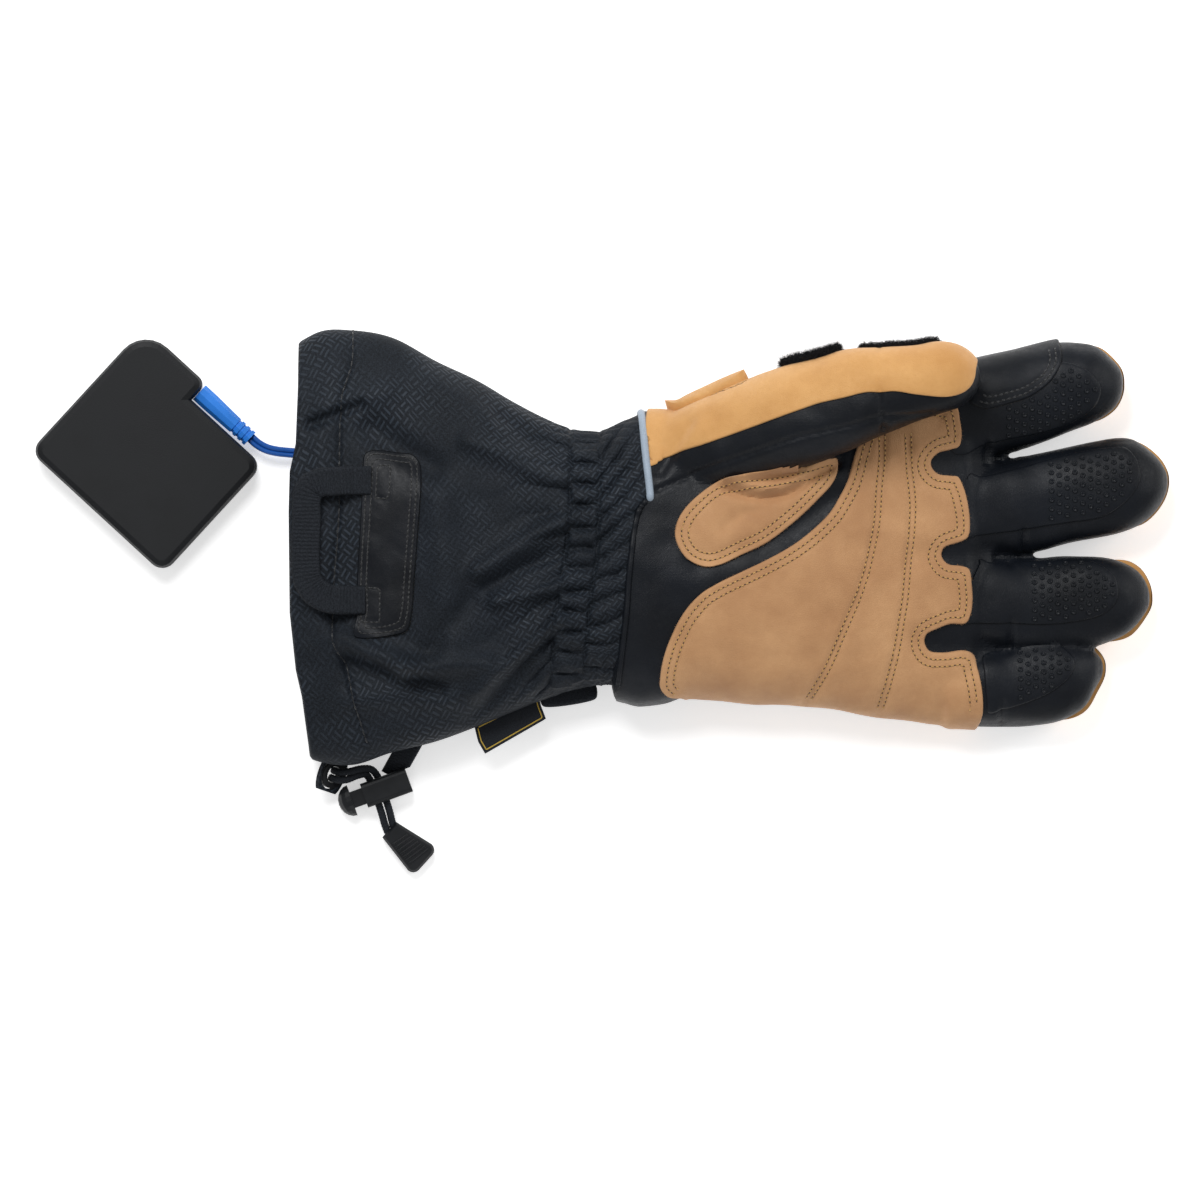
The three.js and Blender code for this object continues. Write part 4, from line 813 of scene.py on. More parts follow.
# Share of a stall's length from the knuckles, and there: share of its thickness, share of its tip's lift
FINGER_HEIGHT = [(-0.3, 1.08), (0, 1.08), (0.3, 1.02), (0.6, 0.97), (1, 0.88)]
FINGER_RISE = [(0, 0), (0.3, 0), (0.6, 0.4), (1, 1)]
TIP_LIFT = 3.0
TIP_ROUND_MM = 14.5

HAND_HIGH_PX = [(610, 412), (640, 411), (660, 411), (700, 412), (760, 405), (820, 395), (880, 385),
                (940, 372), (985, 361)]
HAND_LOW_PX = [(580, 680), (594, 685), (600, 697), (637, 707), (664, 704), (688, 699), (720, 701),
               (757, 705), (791, 705), (836, 710), (860, 715), (911, 722), (936, 725), (985, 727)]

# Share of the hand's length from the wrist, and there how far it has thinned from palm to knuckles
HAND_THINNING = [(-0.08, -0.02), (0.0, -0.03), (0.06, -0.05), (0.167, -0.05), (0.341, 0.0), (0.582, 0.25),
                 (0.792, 0.65), (1.0, 1.0), (1.06, 1.05)]

# Thumb stall: pixels along, its two edges, then height of its middle and half its thickness
THUMB_ROWS = [
    (657, 420, 500, 20.0, 12.4), (704, 397, 495, 25.6, 16.2), (741, 381, 486, 30.5, 17.0),
    (781, 367, 473, 37.2, 16.2), (820, 357, 463, 42.2, 15.2), (851, 349, 450, 45.6, 14.3),
    (880, 348, 437, 46.8, 13.6), (916, 345, 422, 47.2, 12.8), (942, 342, 414, 46.6, 12.2),
    (958, 346, 408, 46.2, 11.2), (969, 354, 399, 45.8, 9.2), (975, 362, 391, 45.6, 6.6),
    (978, 370, 383, 45.5, 3.4),
]

# Folds and seams of the hand: a line in pixels, height and half width
HAND_FOLDS = [
    ([(881, 430), (881, 460), (878, 488), (876, 520), (870, 552), (864, 576), (852, 609), (839, 639),
      (825, 671), (807, 702)], -1.0, 1.3),
    ([(907, 431), (908, 457), (910, 482), (912, 508), (910, 540), (907, 566), (904, 597), (900, 623),
      (896, 648), (889, 678), (879, 714)], -1.0, 1.3),
    ([(727, 491), (763, 498), (791, 492), (810, 479), (836, 464)], -1.5, 1.8),
    ([(722, 530), (739, 516), (763, 508)], -0.7, 2.2),
    ([(735, 484), (770, 488), (800, 480)], 0.7, 3.0),
    ([(660, 472), (676, 446), (690, 426)], -1.1, 2.4),
    ([(668, 478), (684, 452), (700, 430)], 0.7, 3.0),
    ([(700, 560), (770, 540), (835, 497)], -1.2, 4.5),
    ([(640, 560), (690, 590), (700, 650)], 0.9, 7.0),
    ([(984, 461), (940, 462), (905, 470)], -1.2, 4.5),
    ([(1002, 554), (955, 555), (920, 556)], -1.2, 4.5),
    ([(1000, 651), (950, 645), (915, 642)], -1.2, 4.5),
    ([(988, 436), (988, 462)], -0.9, 1.2), ([(1024, 531), (1024, 552)], -0.9, 1.2),
    ([(1010, 560), (1010, 566)], -0.7, 1.0), ([(1011, 621), (1010, 650)], -0.9, 1.2),
    ([(1002, 702), (1001, 728)], -0.9, 1.2), ([(877, 392), (881, 418), (884, 436)], -0.8, 1.1),
    ([(655, 491), (700, 472), (749, 454), (799, 438), (822, 433), (850, 427), (871, 420), (887, 418),
      (913, 417), (930, 415)], -0.7, 1.1),
]

THUMB_BASE = (636, 414, 500, 19.5, 17.5)
PATCH_THICK = 1.3
PANEL_THICK = 1.0


def read_line(px, at):
    """Value in mm along X or Y of a pixel line that runs mostly up the picture."""
    line = at_px(px)
    order = np.argsort(line[:, 1])
    return np.interp(at, line[order, 1], line[order, 0])


def rounded(angle, fullness):
    """Across and up, from -1 to 1, round a section that is fuller than an oval."""
    across, up = np.cos(angle), np.sin(angle)
    return np.sign(across) * np.abs(across) ** (2 / fullness), np.sign(up) * np.abs(up) ** (2 / fullness)


def lying_section(middle, half, top, grow, angle):
    """A lying tube's section: full at the top, flat where it rests."""
    waist = SECTION["waist"] * top
    side, rise = rounded(angle, SECTION["fullness"])
    rise = np.abs(rise)
    below = waist - (waist + grow) * rise * SECTION["belly"]
    above = waist + (top + grow - waist) * rise
    z = np.where(np.sin(angle) >= 0, above, np.maximum(max(0.0, -grow), below))
    return middle + (half + grow) * side, z


def cuff_section(along, grow, angle):
    half = WRIST["width"] / 2 + table(along, FLARE) * (HEM_HALF - WRIST["width"] / 2)
    middle = table(along, SHIFT) * GAUNTLET["hem_width"]
    top = WRIST["height"] + table(along, CUFF_HEIGHT) * (GAUNTLET["hem_height"] - WRIST["height"])
    return lying_section(middle, half, top, grow, angle)


def gather_height(x, y):
    """Puckers between the two elastic stitch rows, and the folds that fan out from them."""
    inner, outer = read_line(GATHER_IN_PX, y), read_line(GATHER_OUT_PX, y)
    points = np.column_stack((x, y, np.zeros_like(x)))
    wobble = 1.6 * ripple(points, 13.0, 3.0) + 0.5 * ripple(points, 5.0, 7.0)
    right, left = np.maximum(x - inner, 0), np.maximum(outer - x, 0)
    g = GATHERS
    fanned = g["middle"] + (y - g["middle"]) / (1 + g["fan"] * (right + left))

    def folds(shift, lean):
        """Round folds with sharp creases between them."""
        turn = np.pi * g["puckers"] * (fanned + wobble + lean) / WRIST["width"] + shift
        return np.abs(np.sin(turn)) ** 0.7 - 0.55
    size = 1 + 0.45 * ripple(points, 11.0, 8.0)
    on_left, on_right = ease(outer - x, -0.7, 0.9), ease(x - inner, -0.7, 0.9)
    between = (1 - on_left) * (1 - on_right)
    middle, half = (inner + outer) / 2, (inner - outer) / 2
    dome = np.sqrt(np.clip(1 - ((x - middle) / half) ** 2, 0, 1))
    height = between * (g["between"] * folds(0.0, 0.0) * size * dome + 0.5 * dome)
    height += on_left * g["cuff_side"] * folds(0.9, 0.35 * left) * size * np.exp(-(left / g["cuff_run"]) ** 1.4)
    height += on_right * g["hand_side"] * folds(2.0, -0.5 * right) * size * bell(right, g["hand_run"])
    height -= g["stitch_sink"] * (bell(x - inner, 0.8) + bell(x - outer, 0.8))
    crumple = 0.7 * ripple(points, 4.2, 5.0) + 0.35 * ripple(points, 2.0, 9.0)
    return height + crumple * np.exp(-((x - middle) / g["crumple_run"]) ** 4)


def cuff_relief(x, y):
    """Folds, crumples and hem of the gauntlet's upper side."""
    points = np.column_stack((x, y))
    height = np.zeros(len(x))
    for first, last, high, wide in CUFF_FOLDS:
        line = smooth_line(at_px([first, last]), 1.0)
        height += FOLD_GAIN * high * bell(distance_to(points, line), wide)
    flat = np.column_stack((points, np.zeros(len(points))))
    height += 0.9 * ripple(flat, 24.0, 1.0) + 0.45 * ripple(flat, 9.0, 2.0) + 0.12 * ripple(flat, 3.2, 4.0)
    hem = smooth_line(at_px(HEM_STITCH_PX), 1.0)
    off = distance_to(points, hem)
    side = x - read_line(HEM_STITCH_PX, y)
    height -= HEM["sink"] * bell(off, HEM["half"]) + 0.35 * bell(side - HEM["beside"], 0.8)
    height += HEM["puff"] * bell(side + HEM["puff_at"], HEM["puff_half"])
    return height + gather_height(x, y)


def cuff_points(rows, angles, grow, relief=True):
    """Rings of the gauntlet from the wrist seam to the hem."""
    along, angle = np.meshgrid(rows, angles, indexing="ij")
    y, _ = cuff_section(along.ravel(), grow, angle.ravel())
    x = WRIST["x"] - along.ravel() * GAUNTLET["length"]
    seam = read_line(SEAM_PX, y) - 0.4
    hem = read_line(HEM_EDGE_PX, y)
    near, far = 1 - ease(along.ravel(), 0.0, 0.16), ease(along.ravel(), 0.7, 1.0)
    x = x + (seam - WRIST["x"]) * near + (hem - (WRIST["x"] - GAUNTLET["length"])) * far
    y, z = cuff_section((WRIST["x"] - x) / GAUNTLET["length"], grow, angle.ravel())
    if relief:
        upper = np.sqrt(np.clip(np.sin(angle.ravel()), 0, 1))
        z = z + cuff_relief(x, y) * upper
        low = np.clip(np.sin(angle.ravel()) * -1, 0, 1)
        y = y + gather_height(x, z * 1.7) * 0.25 * (np.abs(np.cos(angle.ravel())) > 0.6) * (1 - low)
    return np.column_stack((x, y, np.maximum(z, max(0.0, -grow)))).reshape(len(rows), len(angles), 3)


def even_angles(above, below):
    """Angles round a section: so many over the upper side, so many under it."""
    return np.concatenate((np.linspace(0, np.pi, above, endpoint=False),
                           np.linspace(np.pi, 2 * np.pi, below, endpoint=False)))


def hand_section(x):
    """Middle, half width and height of the hand at x."""
    high = np.interp(x, *at_px(HAND_HIGH_PX).T)
    low = np.interp(x, *at_px(HAND_LOW_PX).T) + PATCH_THICK * ease(x, -34.0, -24.0)
    along = (x - WRIST["x"]) / HAND["length"]
    thin = table(along, HAND_THINNING)
    return (high + low) / 2, (high - low) / 2, HAND["palm"] + thin * (HAND["knuckle"] - HAND["palm"])


def hand_rings(xs, angles, grow=0.0):
    x, angle = np.meshgrid(xs, angles, indexing="ij")
    middle, half, top = hand_section(x.ravel())
    y, z = lying_section(middle, half, top, grow, angle.ravel())
    return np.column_stack((x.ravel(), y, z)).reshape(len(xs), len(angles), 3)


def finger_rings(name, stations, angles, start, grow=0.0):
    """Rings of a finger stall from a start in X, between its two edges; its end closes round."""
    outline = smooth_line(at_px(FINGER_PX[name]), 0.5)
    tip = int(np.argmax(outline[:, 0]))
    high, low = outline[:tip + 1], outline[tip:][::-1]
    last = outline[tip, 0] + grow - 0.05
    t = np.linspace(0, 1, stations)
    xs = start + (last - start) * np.sin(t * np.pi / 2)
    rings = []
    thick = FINGER_THICK[name]
    across, up = rounded(angles, SECTION["fullness"])
    for x in xs:
        inner = min(x - grow, outline[tip, 0] - 0.05)
        y_high, y_low = np.interp(inner, high[:, 0], high[:, 1]), np.interp(inner, low[:, 0], low[:, 1])
        past = max(0.0, (x - (last - TIP_ROUND_MM)) / TIP_ROUND_MM)
        closing = math.sqrt(max(0.0, 1 - past * past))
        share = np.clip((x - KNUCKLE_X) / (last - KNUCKLE_X), 0, 1)
        height = thick * table(np.array([share]), FINGER_HEIGHT)[0]
        lift = TIP_LIFT * table(np.array([share]), FINGER_RISE)[0]
        half = max(0.05, (y_high - y_low) / 2 + grow * closing)
        z = height / 2 + lift + max(0.05, height / 2 + grow) * closing * up
        y = (y_high + y_low) / 2 + half * across
        rings.append(np.column_stack((np.full(len(angles), x), y, np.maximum(z, 0))))
    return np.array(rings)


def thumb_rings(count, angles, grow=0.0, before=()):
    """Rings of the thumb stall, from the table's rows and any rows before them."""
    rows = np.array([*before, *THUMB_ROWS], float)
    x = at_px([(r[0], 0) for r in rows])[:, 0]
    high = at_px([(0, r[1]) for r in rows])[:, 1] - PANEL_THICK * 1.2
    low = at_px([(0, r[2]) for r in rows])[:, 1]
    t = np.linspace(0, 1, count)
    xs = x[0] + (x[-1] + min(grow, 0) * 0.9 - x[0]) * np.sin(t * np.pi / 2)
    across, up = rounded(angles, THUMB_FULLNESS)
    rings = []
    for at in xs:
        here = np.array([at])
        hi, lo, mid, half_z = (table(here, list(zip(x, column)))[0]
                               for column in (high, low, rows[:, 3], rows[:, 4]))
        half = max(0.3, (hi - lo) / 2 + grow)
        rings.append(np.column_stack((np.full(len(angles), at), (hi + lo) / 2 + half * across,
                                      mid + max(0.3, half_z + grow) * up)))
    return np.array(rings)


# Making the pieces

def make_gauntlet():
    """One closed skin: tucked in at the wrist seam, out to the hem, round its lip and back inside."""
    angles = even_angles(250, 90)
    rows = np.concatenate((np.linspace(0.0, 0.3, 110, endpoint=False), np.linspace(0.3, 1.0, 130)))
    outer = cuff_points(rows, angles, 0.0)
    inner_rows = np.linspace(0.99, 0.02, 30)
    inner = cuff_points(inner_rows, angles, -GAUNTLET["wall"], relief=False)
    folded, plain = (cuff_points(inner_rows, angles, 0.0, relief)[:, :, 2] for relief in (True, False))
    inner[:, :, 2] = np.maximum(inner[:, :, 2] + np.minimum(folded - plain, 0), GAUNTLET["wall"] * 0.8)
    lip = outer[-1].copy()
    lip[:, 0] -= 0.7
    lip = lip * 0.5 + inner[0] * 0.5
    lip[:, 0] = outer[-1][:, 0] - 0.9
    first = outer[:1].copy()
    tucked = first * [1, 0.985, 0.97] + [1.4, 0, 0.1]
    rings = np.concatenate((tucked, outer, lip[None], inner), axis=0)
    count = len(angles)
    faces = ring_faces(len(rings), count)
    last = (len(rings) - 1) * count
    for k in range(count):
        after = (k + 1) % count
        faces.append((last + k, last + after, after, k))
    gaps = np.linalg.norm(np.diff(rings, axis=1, append=rings[:, :1]), axis=2)
    run = np.cumsum(gaps, axis=1)
    base = run[len(rows) // 2]
    uv = np.stack((rings[:, :, 0], np.broadcast_to(base, rings.shape[:2])), axis=2)
    piece = add_object("gauntlet_shell", rings.reshape(-1, 3), faces, "shell", uv=uv.reshape(-1, 2))
    orient(piece)
    place(piece, "softshell", "gauntlet_cuff")
    flat_x = np.linspace(WRIST["x"] - GAUNTLET["length"] + 0.5, WRIST["x"] - 1.0, 60)
    x, angle = np.meshgrid(flat_x, even_angles(60, 40), indexing="ij")
    y, z = cuff_section((WRIST["x"] - x.ravel()) / GAUNTLET["length"], 0.0, angle.ravel())
    skin, tree = Skin(np.column_stack((x.ravel(), y, z)).reshape(60, 100, 3)), tree_on(piece)
    hem = to_flat(skin, smooth_line(at_px(HEM_STITCH_PX[:-1]), 0.6))
    place(sew("hem_stitches", skin, tree, [hem], "black_thread", "black_hole_shade", HEM["pitch"], 0.5, reach=14.0),
          "softshell")
    BUILT["cuff_skin"], BUILT["cuff_tree"] = skin, tree


def make_hand():
    """Palm, finger stalls and thumb fused into one skin, folded, drawn in at the wrist and hollowed."""
    angles = even_angles(96, 64)
    xs = np.linspace(at_px([(610, 0)])[0, 0], KNUCKLE_X + 3.0, 70)
    body = hand_rings(xs, angles)
    closing = 1 - 0.2 * ease(xs, KNUCKLE_X - 7.0, KNUCKLE_X + 3.0)
    body[:, :, 2] *= closing[:, None]
    parts = [loft_mesh(body)]
    for name in FINGER_PX:
        parts.append(loft_mesh(finger_rings(name, 44, even_angles(36, 36), ROOT_X)))
    parts.append(loft_mesh(thumb_rings(60, even_angles(44, 44))))
    verts, faces = join_parts(parts)
    piece = add_object("hand_leather", verts, faces, "leather")
    orient(piece)
    remesh = piece.modifiers.new("voxels", "REMESH")
    remesh.mode = "VOXEL"
    remesh.voxel_size = VOXEL["skin"] * MM
    relax = piece.modifiers.new("relax", "SMOOTH")
    relax.factor = 0.5
    relax.iterations = 6
    bake_modifiers(piece)
    verts, normals, faces = read_mesh(piece)
    topness = ease(normals[:, 2], 0.05, 0.5)
    height = np.zeros(len(verts))
    under_thumb = (verts[:, 2] < THUMB_UNDERSIDE) & (normals[:, 2] > 0)
    for px, high, wide in HAND_FOLDS:
        line = smooth_line(at_px(px), 0.8) if len(px) > 2 else resample(at_px(px), 0.8)
        height += high * bell(distance_to(verts[:, :2], line), wide)
    root_x, root_y = THUMB_ROOT
    height[under_thumb & (verts[:, 0] > root_x) & (verts[:, 1] > root_y)] *= 0.3
    height += 0.8 * ripple(verts, 22.0, 1.0) + 0.3 * ripple(verts, 8.0, 2.0)
    verts = verts + normals * (height * topness + 0.35 * ripple(verts, 12.0, 6.0) * (1 - topness))[:, None]
    verts[:, 2] = np.maximum(verts[:, 2], 0)
    past = ease(read_line(SEAM_PX, verts[:, 1]) + 0.6 - verts[:, 0], 0.0, 2.4)
    middle = hand_section(verts[:, 0])[0]
    verts[:, 1] = middle + (verts[:, 1] - middle) * (1 - TURNED_IN["sides"] * past)
    verts[:, 2] = TURNED_IN["middle"] + (verts[:, 2] - TURNED_IN["middle"]) * (1 - TURNED_IN["top"] * past)
    write_points(piece, verts)
    BUILT["hand_tree"] = tree_of(verts, faces)
    inner_parts = []
    inner_x = np.linspace(xs[0] - 6.0, KNUCKLE_X - 3.0, 24)
    inner_parts.append(loft_mesh(hand_rings(inner_x, even_angles(28, 20), -HAND["wall"] - 1.0)))
    for name in FINGER_PX:
        rings = finger_rings(name, 14, even_angles(12, 12), ROOT_X - 6.0, -HAND["wall"] - 0.8)
        inner_parts.append(loft_mesh(rings))
    inner_parts.append(loft_mesh(thumb_rings(16, even_angles(14, 14), grow=-HAND["wall"] - 0.8)))
    verts, faces = join_parts(inner_parts)
    hollow = add_object("hollow", verts, faces, "leather")
    orient(hollow)
    fuse = hollow.modifiers.new("voxels", "REMESH")
    fuse.mode = "VOXEL"
    fuse.voxel_size = VOXEL["hollow"] * MM
    bake_modifiers(hollow)
    cut = piece.modifiers.new("hollow", "BOOLEAN")
    cut.operation = "DIFFERENCE"
    cut.solver = "MANIFOLD"
    cut.object = hollow
    bake_modifiers(piece)
    bpy.data.objects.remove(hollow)
    place(piece, "black_leather", "hand_shell", "index_finger", "middle_finger", "ring_finger",
          "little_finger", "thumb")
    BUILT["hand_skin"] = Skin(hand_rings(np.linspace(xs[0], KNUCKLE_X + 2, 60), even_angles(60, 60)))
    for name in FINGER_PX:
        BUILT[name + "_skin"] = Skin(finger_rings(name, 40, even_angles(40, 40), ROOT_X))
    BUILT["thumb_skin"] = Skin(thumb_rings(60, even_angles(40, 40), before=[THUMB_BASE]))


# Stage

PHOTO_WIDTH = PHOTO_PX / PX_PER_MM
VIEW_MIDDLE = ((PHOTO_PX / 2 - PX_ORIGIN[0]) / PX_PER_MM, (PX_ORIGIN[1] - PHOTO_PX / 2) / PX_PER_MM)
LENS = 400.0
SENSOR = 36.0
MIDDLE_HEIGHT = 20.0
TABLE_HALF = 3000
TABLE_GLOW = 0.5
ROOM_LIGHT = 0.36
# Place in mm, size in m, power in W
LIGHTS = {
    "top_box": ((-300, 650, 1000), 0.6, 9.5),
    "side_box": ((900, 350, 600), 0.4, 2.6),
    "low_box": ((-200, -900, 500), 0.5, 1.0),
}


def make_stage():
    """Camera straight above at the photograph's framing, pale table, soft light from all round."""
    scene = bpy.context.scene
    camera_data = bpy.data.cameras.new("photo_camera")
    camera_data.lens, camera_data.sensor_width = LENS, SENSOR
    camera_data.clip_start, camera_data.clip_end = 0.5, 20.0
    camera = bpy.data.objects.new("photo_camera", camera_data)
    away = PHOTO_WIDTH * LENS / SENSOR
    camera.location = Vector((*VIEW_MIDDLE, MIDDLE_HEIGHT + away)) * MM
    scene.collection.objects.link(camera)
    scene.camera = camera

    made, tree, shader, where = start_material("matt_white_table", 0.9)
    tree.links.new(mixed(tree, span(tree, noise_at(tree, where, 60.0), 0.4, 0.6), linear("#fbfbfb"),
                         linear("#ffffff")), shader.inputs["Base Color"])
    # Lit from below as well, as a light table is, so that shadows on it stay faint
    shader.inputs["Emission Color"].default_value = (1, 1, 1, 1)
    shader.inputs["Emission Strength"].default_value = TABLE_GLOW
    corners = [(TABLE_HALF * x, TABLE_HALF * y, 0) for x, y in ((-1, -1), (1, -1), (1, 1), (-1, 1))]
    floor = add_object("floor", corners, [(0, 1, 2, 3)], made)

    world = bpy.data.worlds.new("soft_room")
    world.use_nodes = True
    world.node_tree.nodes["Background"].inputs[0].default_value = (1, 1, 1, 1)
    world.node_tree.nodes["Background"].inputs[1].default_value = ROOM_LIGHT
    scene.world = world
    for name, (place_at, size, power) in LIGHTS.items():
        light = bpy.data.lights.new(name, "AREA")
        light.energy, light.size, light.shape = power, size, "DISK"
        lamp = bpy.data.objects.new(name, light)
        lamp.location = Vector(place_at) * MM
        lamp.rotation_euler = (-lamp.location).to_track_quat("-Z", "Y").to_euler()
        scene.collection.objects.link(lamp)
    scene.view_settings.view_transform = "Standard"


# Tubes, straps and slabs

def tube_mesh(line, half_wide, half_high, sides=12, braid=0.0, pitch=2.2):
    """A round or oval tube along a line, its braid raised by a little."""
    along = np.gradient(line, axis=0)
    along /= np.linalg.norm(along, axis=1)[:, None]
    side = np.cross((0, 0, 1.0), along)
    side /= np.maximum(np.linalg.norm(side, axis=1), 1e-9)[:, None]
    up = np.cross(along, side)
    run = np.concatenate(([0], np.cumsum(np.linalg.norm(np.diff(line, axis=0), axis=1))))[:, None]
    angle = np.linspace(0, 2 * np.pi, sides, endpoint=False)[None, :]
    turn = 2 * np.pi * run / pitch
    size = 1 + braid * np.cos(3 * angle + turn) * np.cos(3 * angle - turn)
    ring = (line[:, None] + side[:, None] * (np.cos(angle) * size * half_wide)[..., None]
            + up[:, None] * (np.sin(angle) * size * half_high)[..., None])
    return loft_mesh(ring)


def strap_mesh(line, width, thick, rib_pitch, rib_depth):
    """Webbing along a line, with raised ribs across it and rolled edges."""
    along = np.gradient(line, axis=0)
    side = np.column_stack((along[:, 1], -along[:, 0], np.zeros(len(line))))
    side /= np.maximum(np.linalg.norm(side, axis=1), 1e-9)[:, None]
    run = np.concatenate(([0], np.cumsum(np.linalg.norm(np.diff(line, axis=0), axis=1))))
    across = np.linspace(-1, 1, 17)
    rings = []
    for p, s, at in zip(line, side, run):
        wave = np.cos(2 * np.pi * (at + 0.25 * np.sin(across * 16.0)) / rib_pitch) * rib_depth
        edge = np.sqrt(np.clip(1 - np.abs(across) ** 8, 0, 1))
        top = p + s * across[:, None] * width / 2 + np.outer((thick / 2 + wave) * edge, (0, 0, 1))
        low = p + s * across[::-1, None] * width / 2 - np.outer((thick / 2 + wave) * edge[::-1], (0, 0, 1))
        rings.append(np.vstack((top, low[1:-1])))
    return loft_mesh(np.array(rings))


def slab_mesh(outline, low, high, bevel):
    """A flat piece with rolled edges over an outline in plan."""
    closed = np.vstack((outline, outline[:1]))
    shift = inward(closed, side_of(closed, outline))[:-1] * bevel
    rings = [np.column_stack((outline + shift * a, np.full(len(outline), z))) for a, z in (
        (1.0, low), (0.3, low + 0.3 * bevel), (0.0, low + bevel), (0.0, high - bevel),
        (0.3, high - 0.3 * bevel), (1.0, high))]
    count = len(outline)
    faces = ring_faces(len(rings), count)
    faces += [tuple(reversed(range(count))), tuple(range(5 * count, 6 * count))]
    return np.vstack(rings), faces


def finish_cad(name, material, bevel=0.0, angle=40):
    """A CAD piece that stays as it is, with its real material and softly broken edges."""
    piece = bpy.data.objects[name]
    piece.data.materials.clear()
    piece.data.materials.append(stuff(material))
    piece.data.shade_smooth()
    piece.data.set_sharp_from_angle(angle=math.radians(angle))
    if bevel:
        round_off = piece.modifiers.new("edges", "BEVEL")
        round_off.width = bevel * MM
        round_off.segments = 3
        round_off.limit_method = "ANGLE"
        round_off.angle_limit = math.radians(35)
    return piece


# Cords

DRAWCORD = 2.5
STRANDS = {
    "a": [(-152.7, -79.5, 7.5), (-150.2, -80.3, 10), (-147, -80, 10.6), (-142.6, -79, 8.8), (-139, -79.3, 6.3),
          (-136.9, -81.7, 4.9), (-135.2, -86.4, 4.9), (-133.5, -91.1, 4.9), (-132.4, -94.8, 4.4),
          (-131.7, -97.8, 3.6), (-131, -100.2, 3.2), (-129, -102.4, 3.2)],
    "b": [(-153.7, -82.1, 7.5), (-151.2, -82.9, 9.6), (-148, -82.9, 10), (-144, -81.4, 8), (-141.2, -81, 6),
          (-139.7, -82.7, 4.9), (-138, -87.4, 4.9), (-136.3, -92.1, 4.9), (-135.2, -95.6, 4.4),
          (-134.2, -99.2, 3.6), (-133, -102, 3.2), (-130.8, -104.4, 3.2)],
}
LEAD = {"width": 3.6, "wire": 1.8}
LEAD_ROUTE = [(-182.2, 39.5, 7), (-180, 37.5, 7), (-176.6, 35.6, 6.8), (-173, 34.7, 6.4), (-169.5, 34.3, 6),
              (-165, 33.9, 5.6), (-159, 33, 5), (-151, 31, 4.5), (-142, 29.4, 4.3), (-133, 29.6, 4.3),
              (-124, 31, 4.3), (-115, 31.6, 4.3), (-107, 30.2, 4.3), (-99, 26.8, 4.3), (-91, 23.4, 4.3),
              (-83, 21.6, 4.3)]


def make_cords():
    """Two braided drawcords from the eyelet to their grip, and the flat twin lead from the cuff."""
    for key, route in STRANDS.items():
        line = smooth_line(route, 0.35)
        piece = solid("drawcord_strand_" + key, tube_mesh(line, DRAWCORD / 2, DRAWCORD / 2, 16, 0.1), "cord",
                      "webbing", "drawcord_" + key)
    line = smooth_line(LEAD_ROUTE, 1.0)[::-1]
    along = np.gradient(line, axis=0)
    side = np.column_stack((along[:, 1], -along[:, 0], np.zeros(len(line))))
    side /= np.linalg.norm(side, axis=1)[:, None]
    wires = [tube_mesh(line + side * off * LEAD["wire"] / 2, LEAD["wire"] / 2, LEAD["wire"] / 2, 12)
             for off in (-0.98, 0.98)]
    piece = solid("twin_lead", join_parts(wires), "lead", "blue_lead", "power_lead")


# Leather and cloth laid on the hand

PALM_EDGE_PX = [
    (980, 716), (982, 706), (981, 687), (977, 668), (974, 656), (965, 651), (943, 653), (929, 651), (924, 642),
    (926, 634), (936, 629), (949, 624), (965, 623), (970, 614), (972, 600), (971, 585), (968, 569), (960, 566),
    (947, 564), (941, 556), (943, 548), (949, 545), (959, 542), (967, 537), (969, 520), (966, 499), (962, 486),
    (957, 477), (949, 476), (937, 474), (931, 467), (931, 460), (938, 453), (949, 450), (958, 447), (961, 436),
    (959, 422), (955, 409), (930, 404), (890, 412), (864, 430), (855, 452), (847, 480), (839, 497), (829, 513),
    (812, 530), (791, 546), (766, 560), (743, 571), (716, 584), (700, 594), (683, 613), (669, 641), (663, 659),
    (660, 676), (660, 686), (667, 694), (680, 696),
]
PALM_SEAMS_PX = [
    [(881, 432), (881, 460), (878, 488), (876, 520), (870, 552), (864, 576), (852, 609), (839, 639), (825, 671),
     (808, 698)],
    [(907, 434), (908, 457), (910, 482), (912, 508), (910, 540), (907, 566), (904, 597), (900, 623), (896, 648),
     (889, 678), (880, 708)],
]
THENAR_PX = [(676, 525), (675, 538), (683, 555), (693, 563), (706, 567), (719, 565), (741, 555), (766, 543),
             (796, 520), (816, 501), (832, 483), (837, 469), (836, 459), (827, 460), (807, 467), (774, 474),
             (741, 478), (719, 482), (700, 494), (683, 511)]
THENAR_FOLD_PX = [(727, 489), (745, 496), (768, 498), (791, 492), (810, 480), (826, 470)]
INDEX_PATCH_PX = [(1059, 340), (1061, 362), (1056, 374), (1048, 384), (1029, 397), (1008, 404), (984, 409),
                  (970, 404)]
THUMB_EDGE_PX = [(644, 467), (693, 449), (749, 429), (799, 411), (816, 405), (843, 399), (864, 394), (878, 394),
                 (892, 393), (913, 396), (941, 398), (957, 395), (967, 389), (973, 379), (974, 371)]
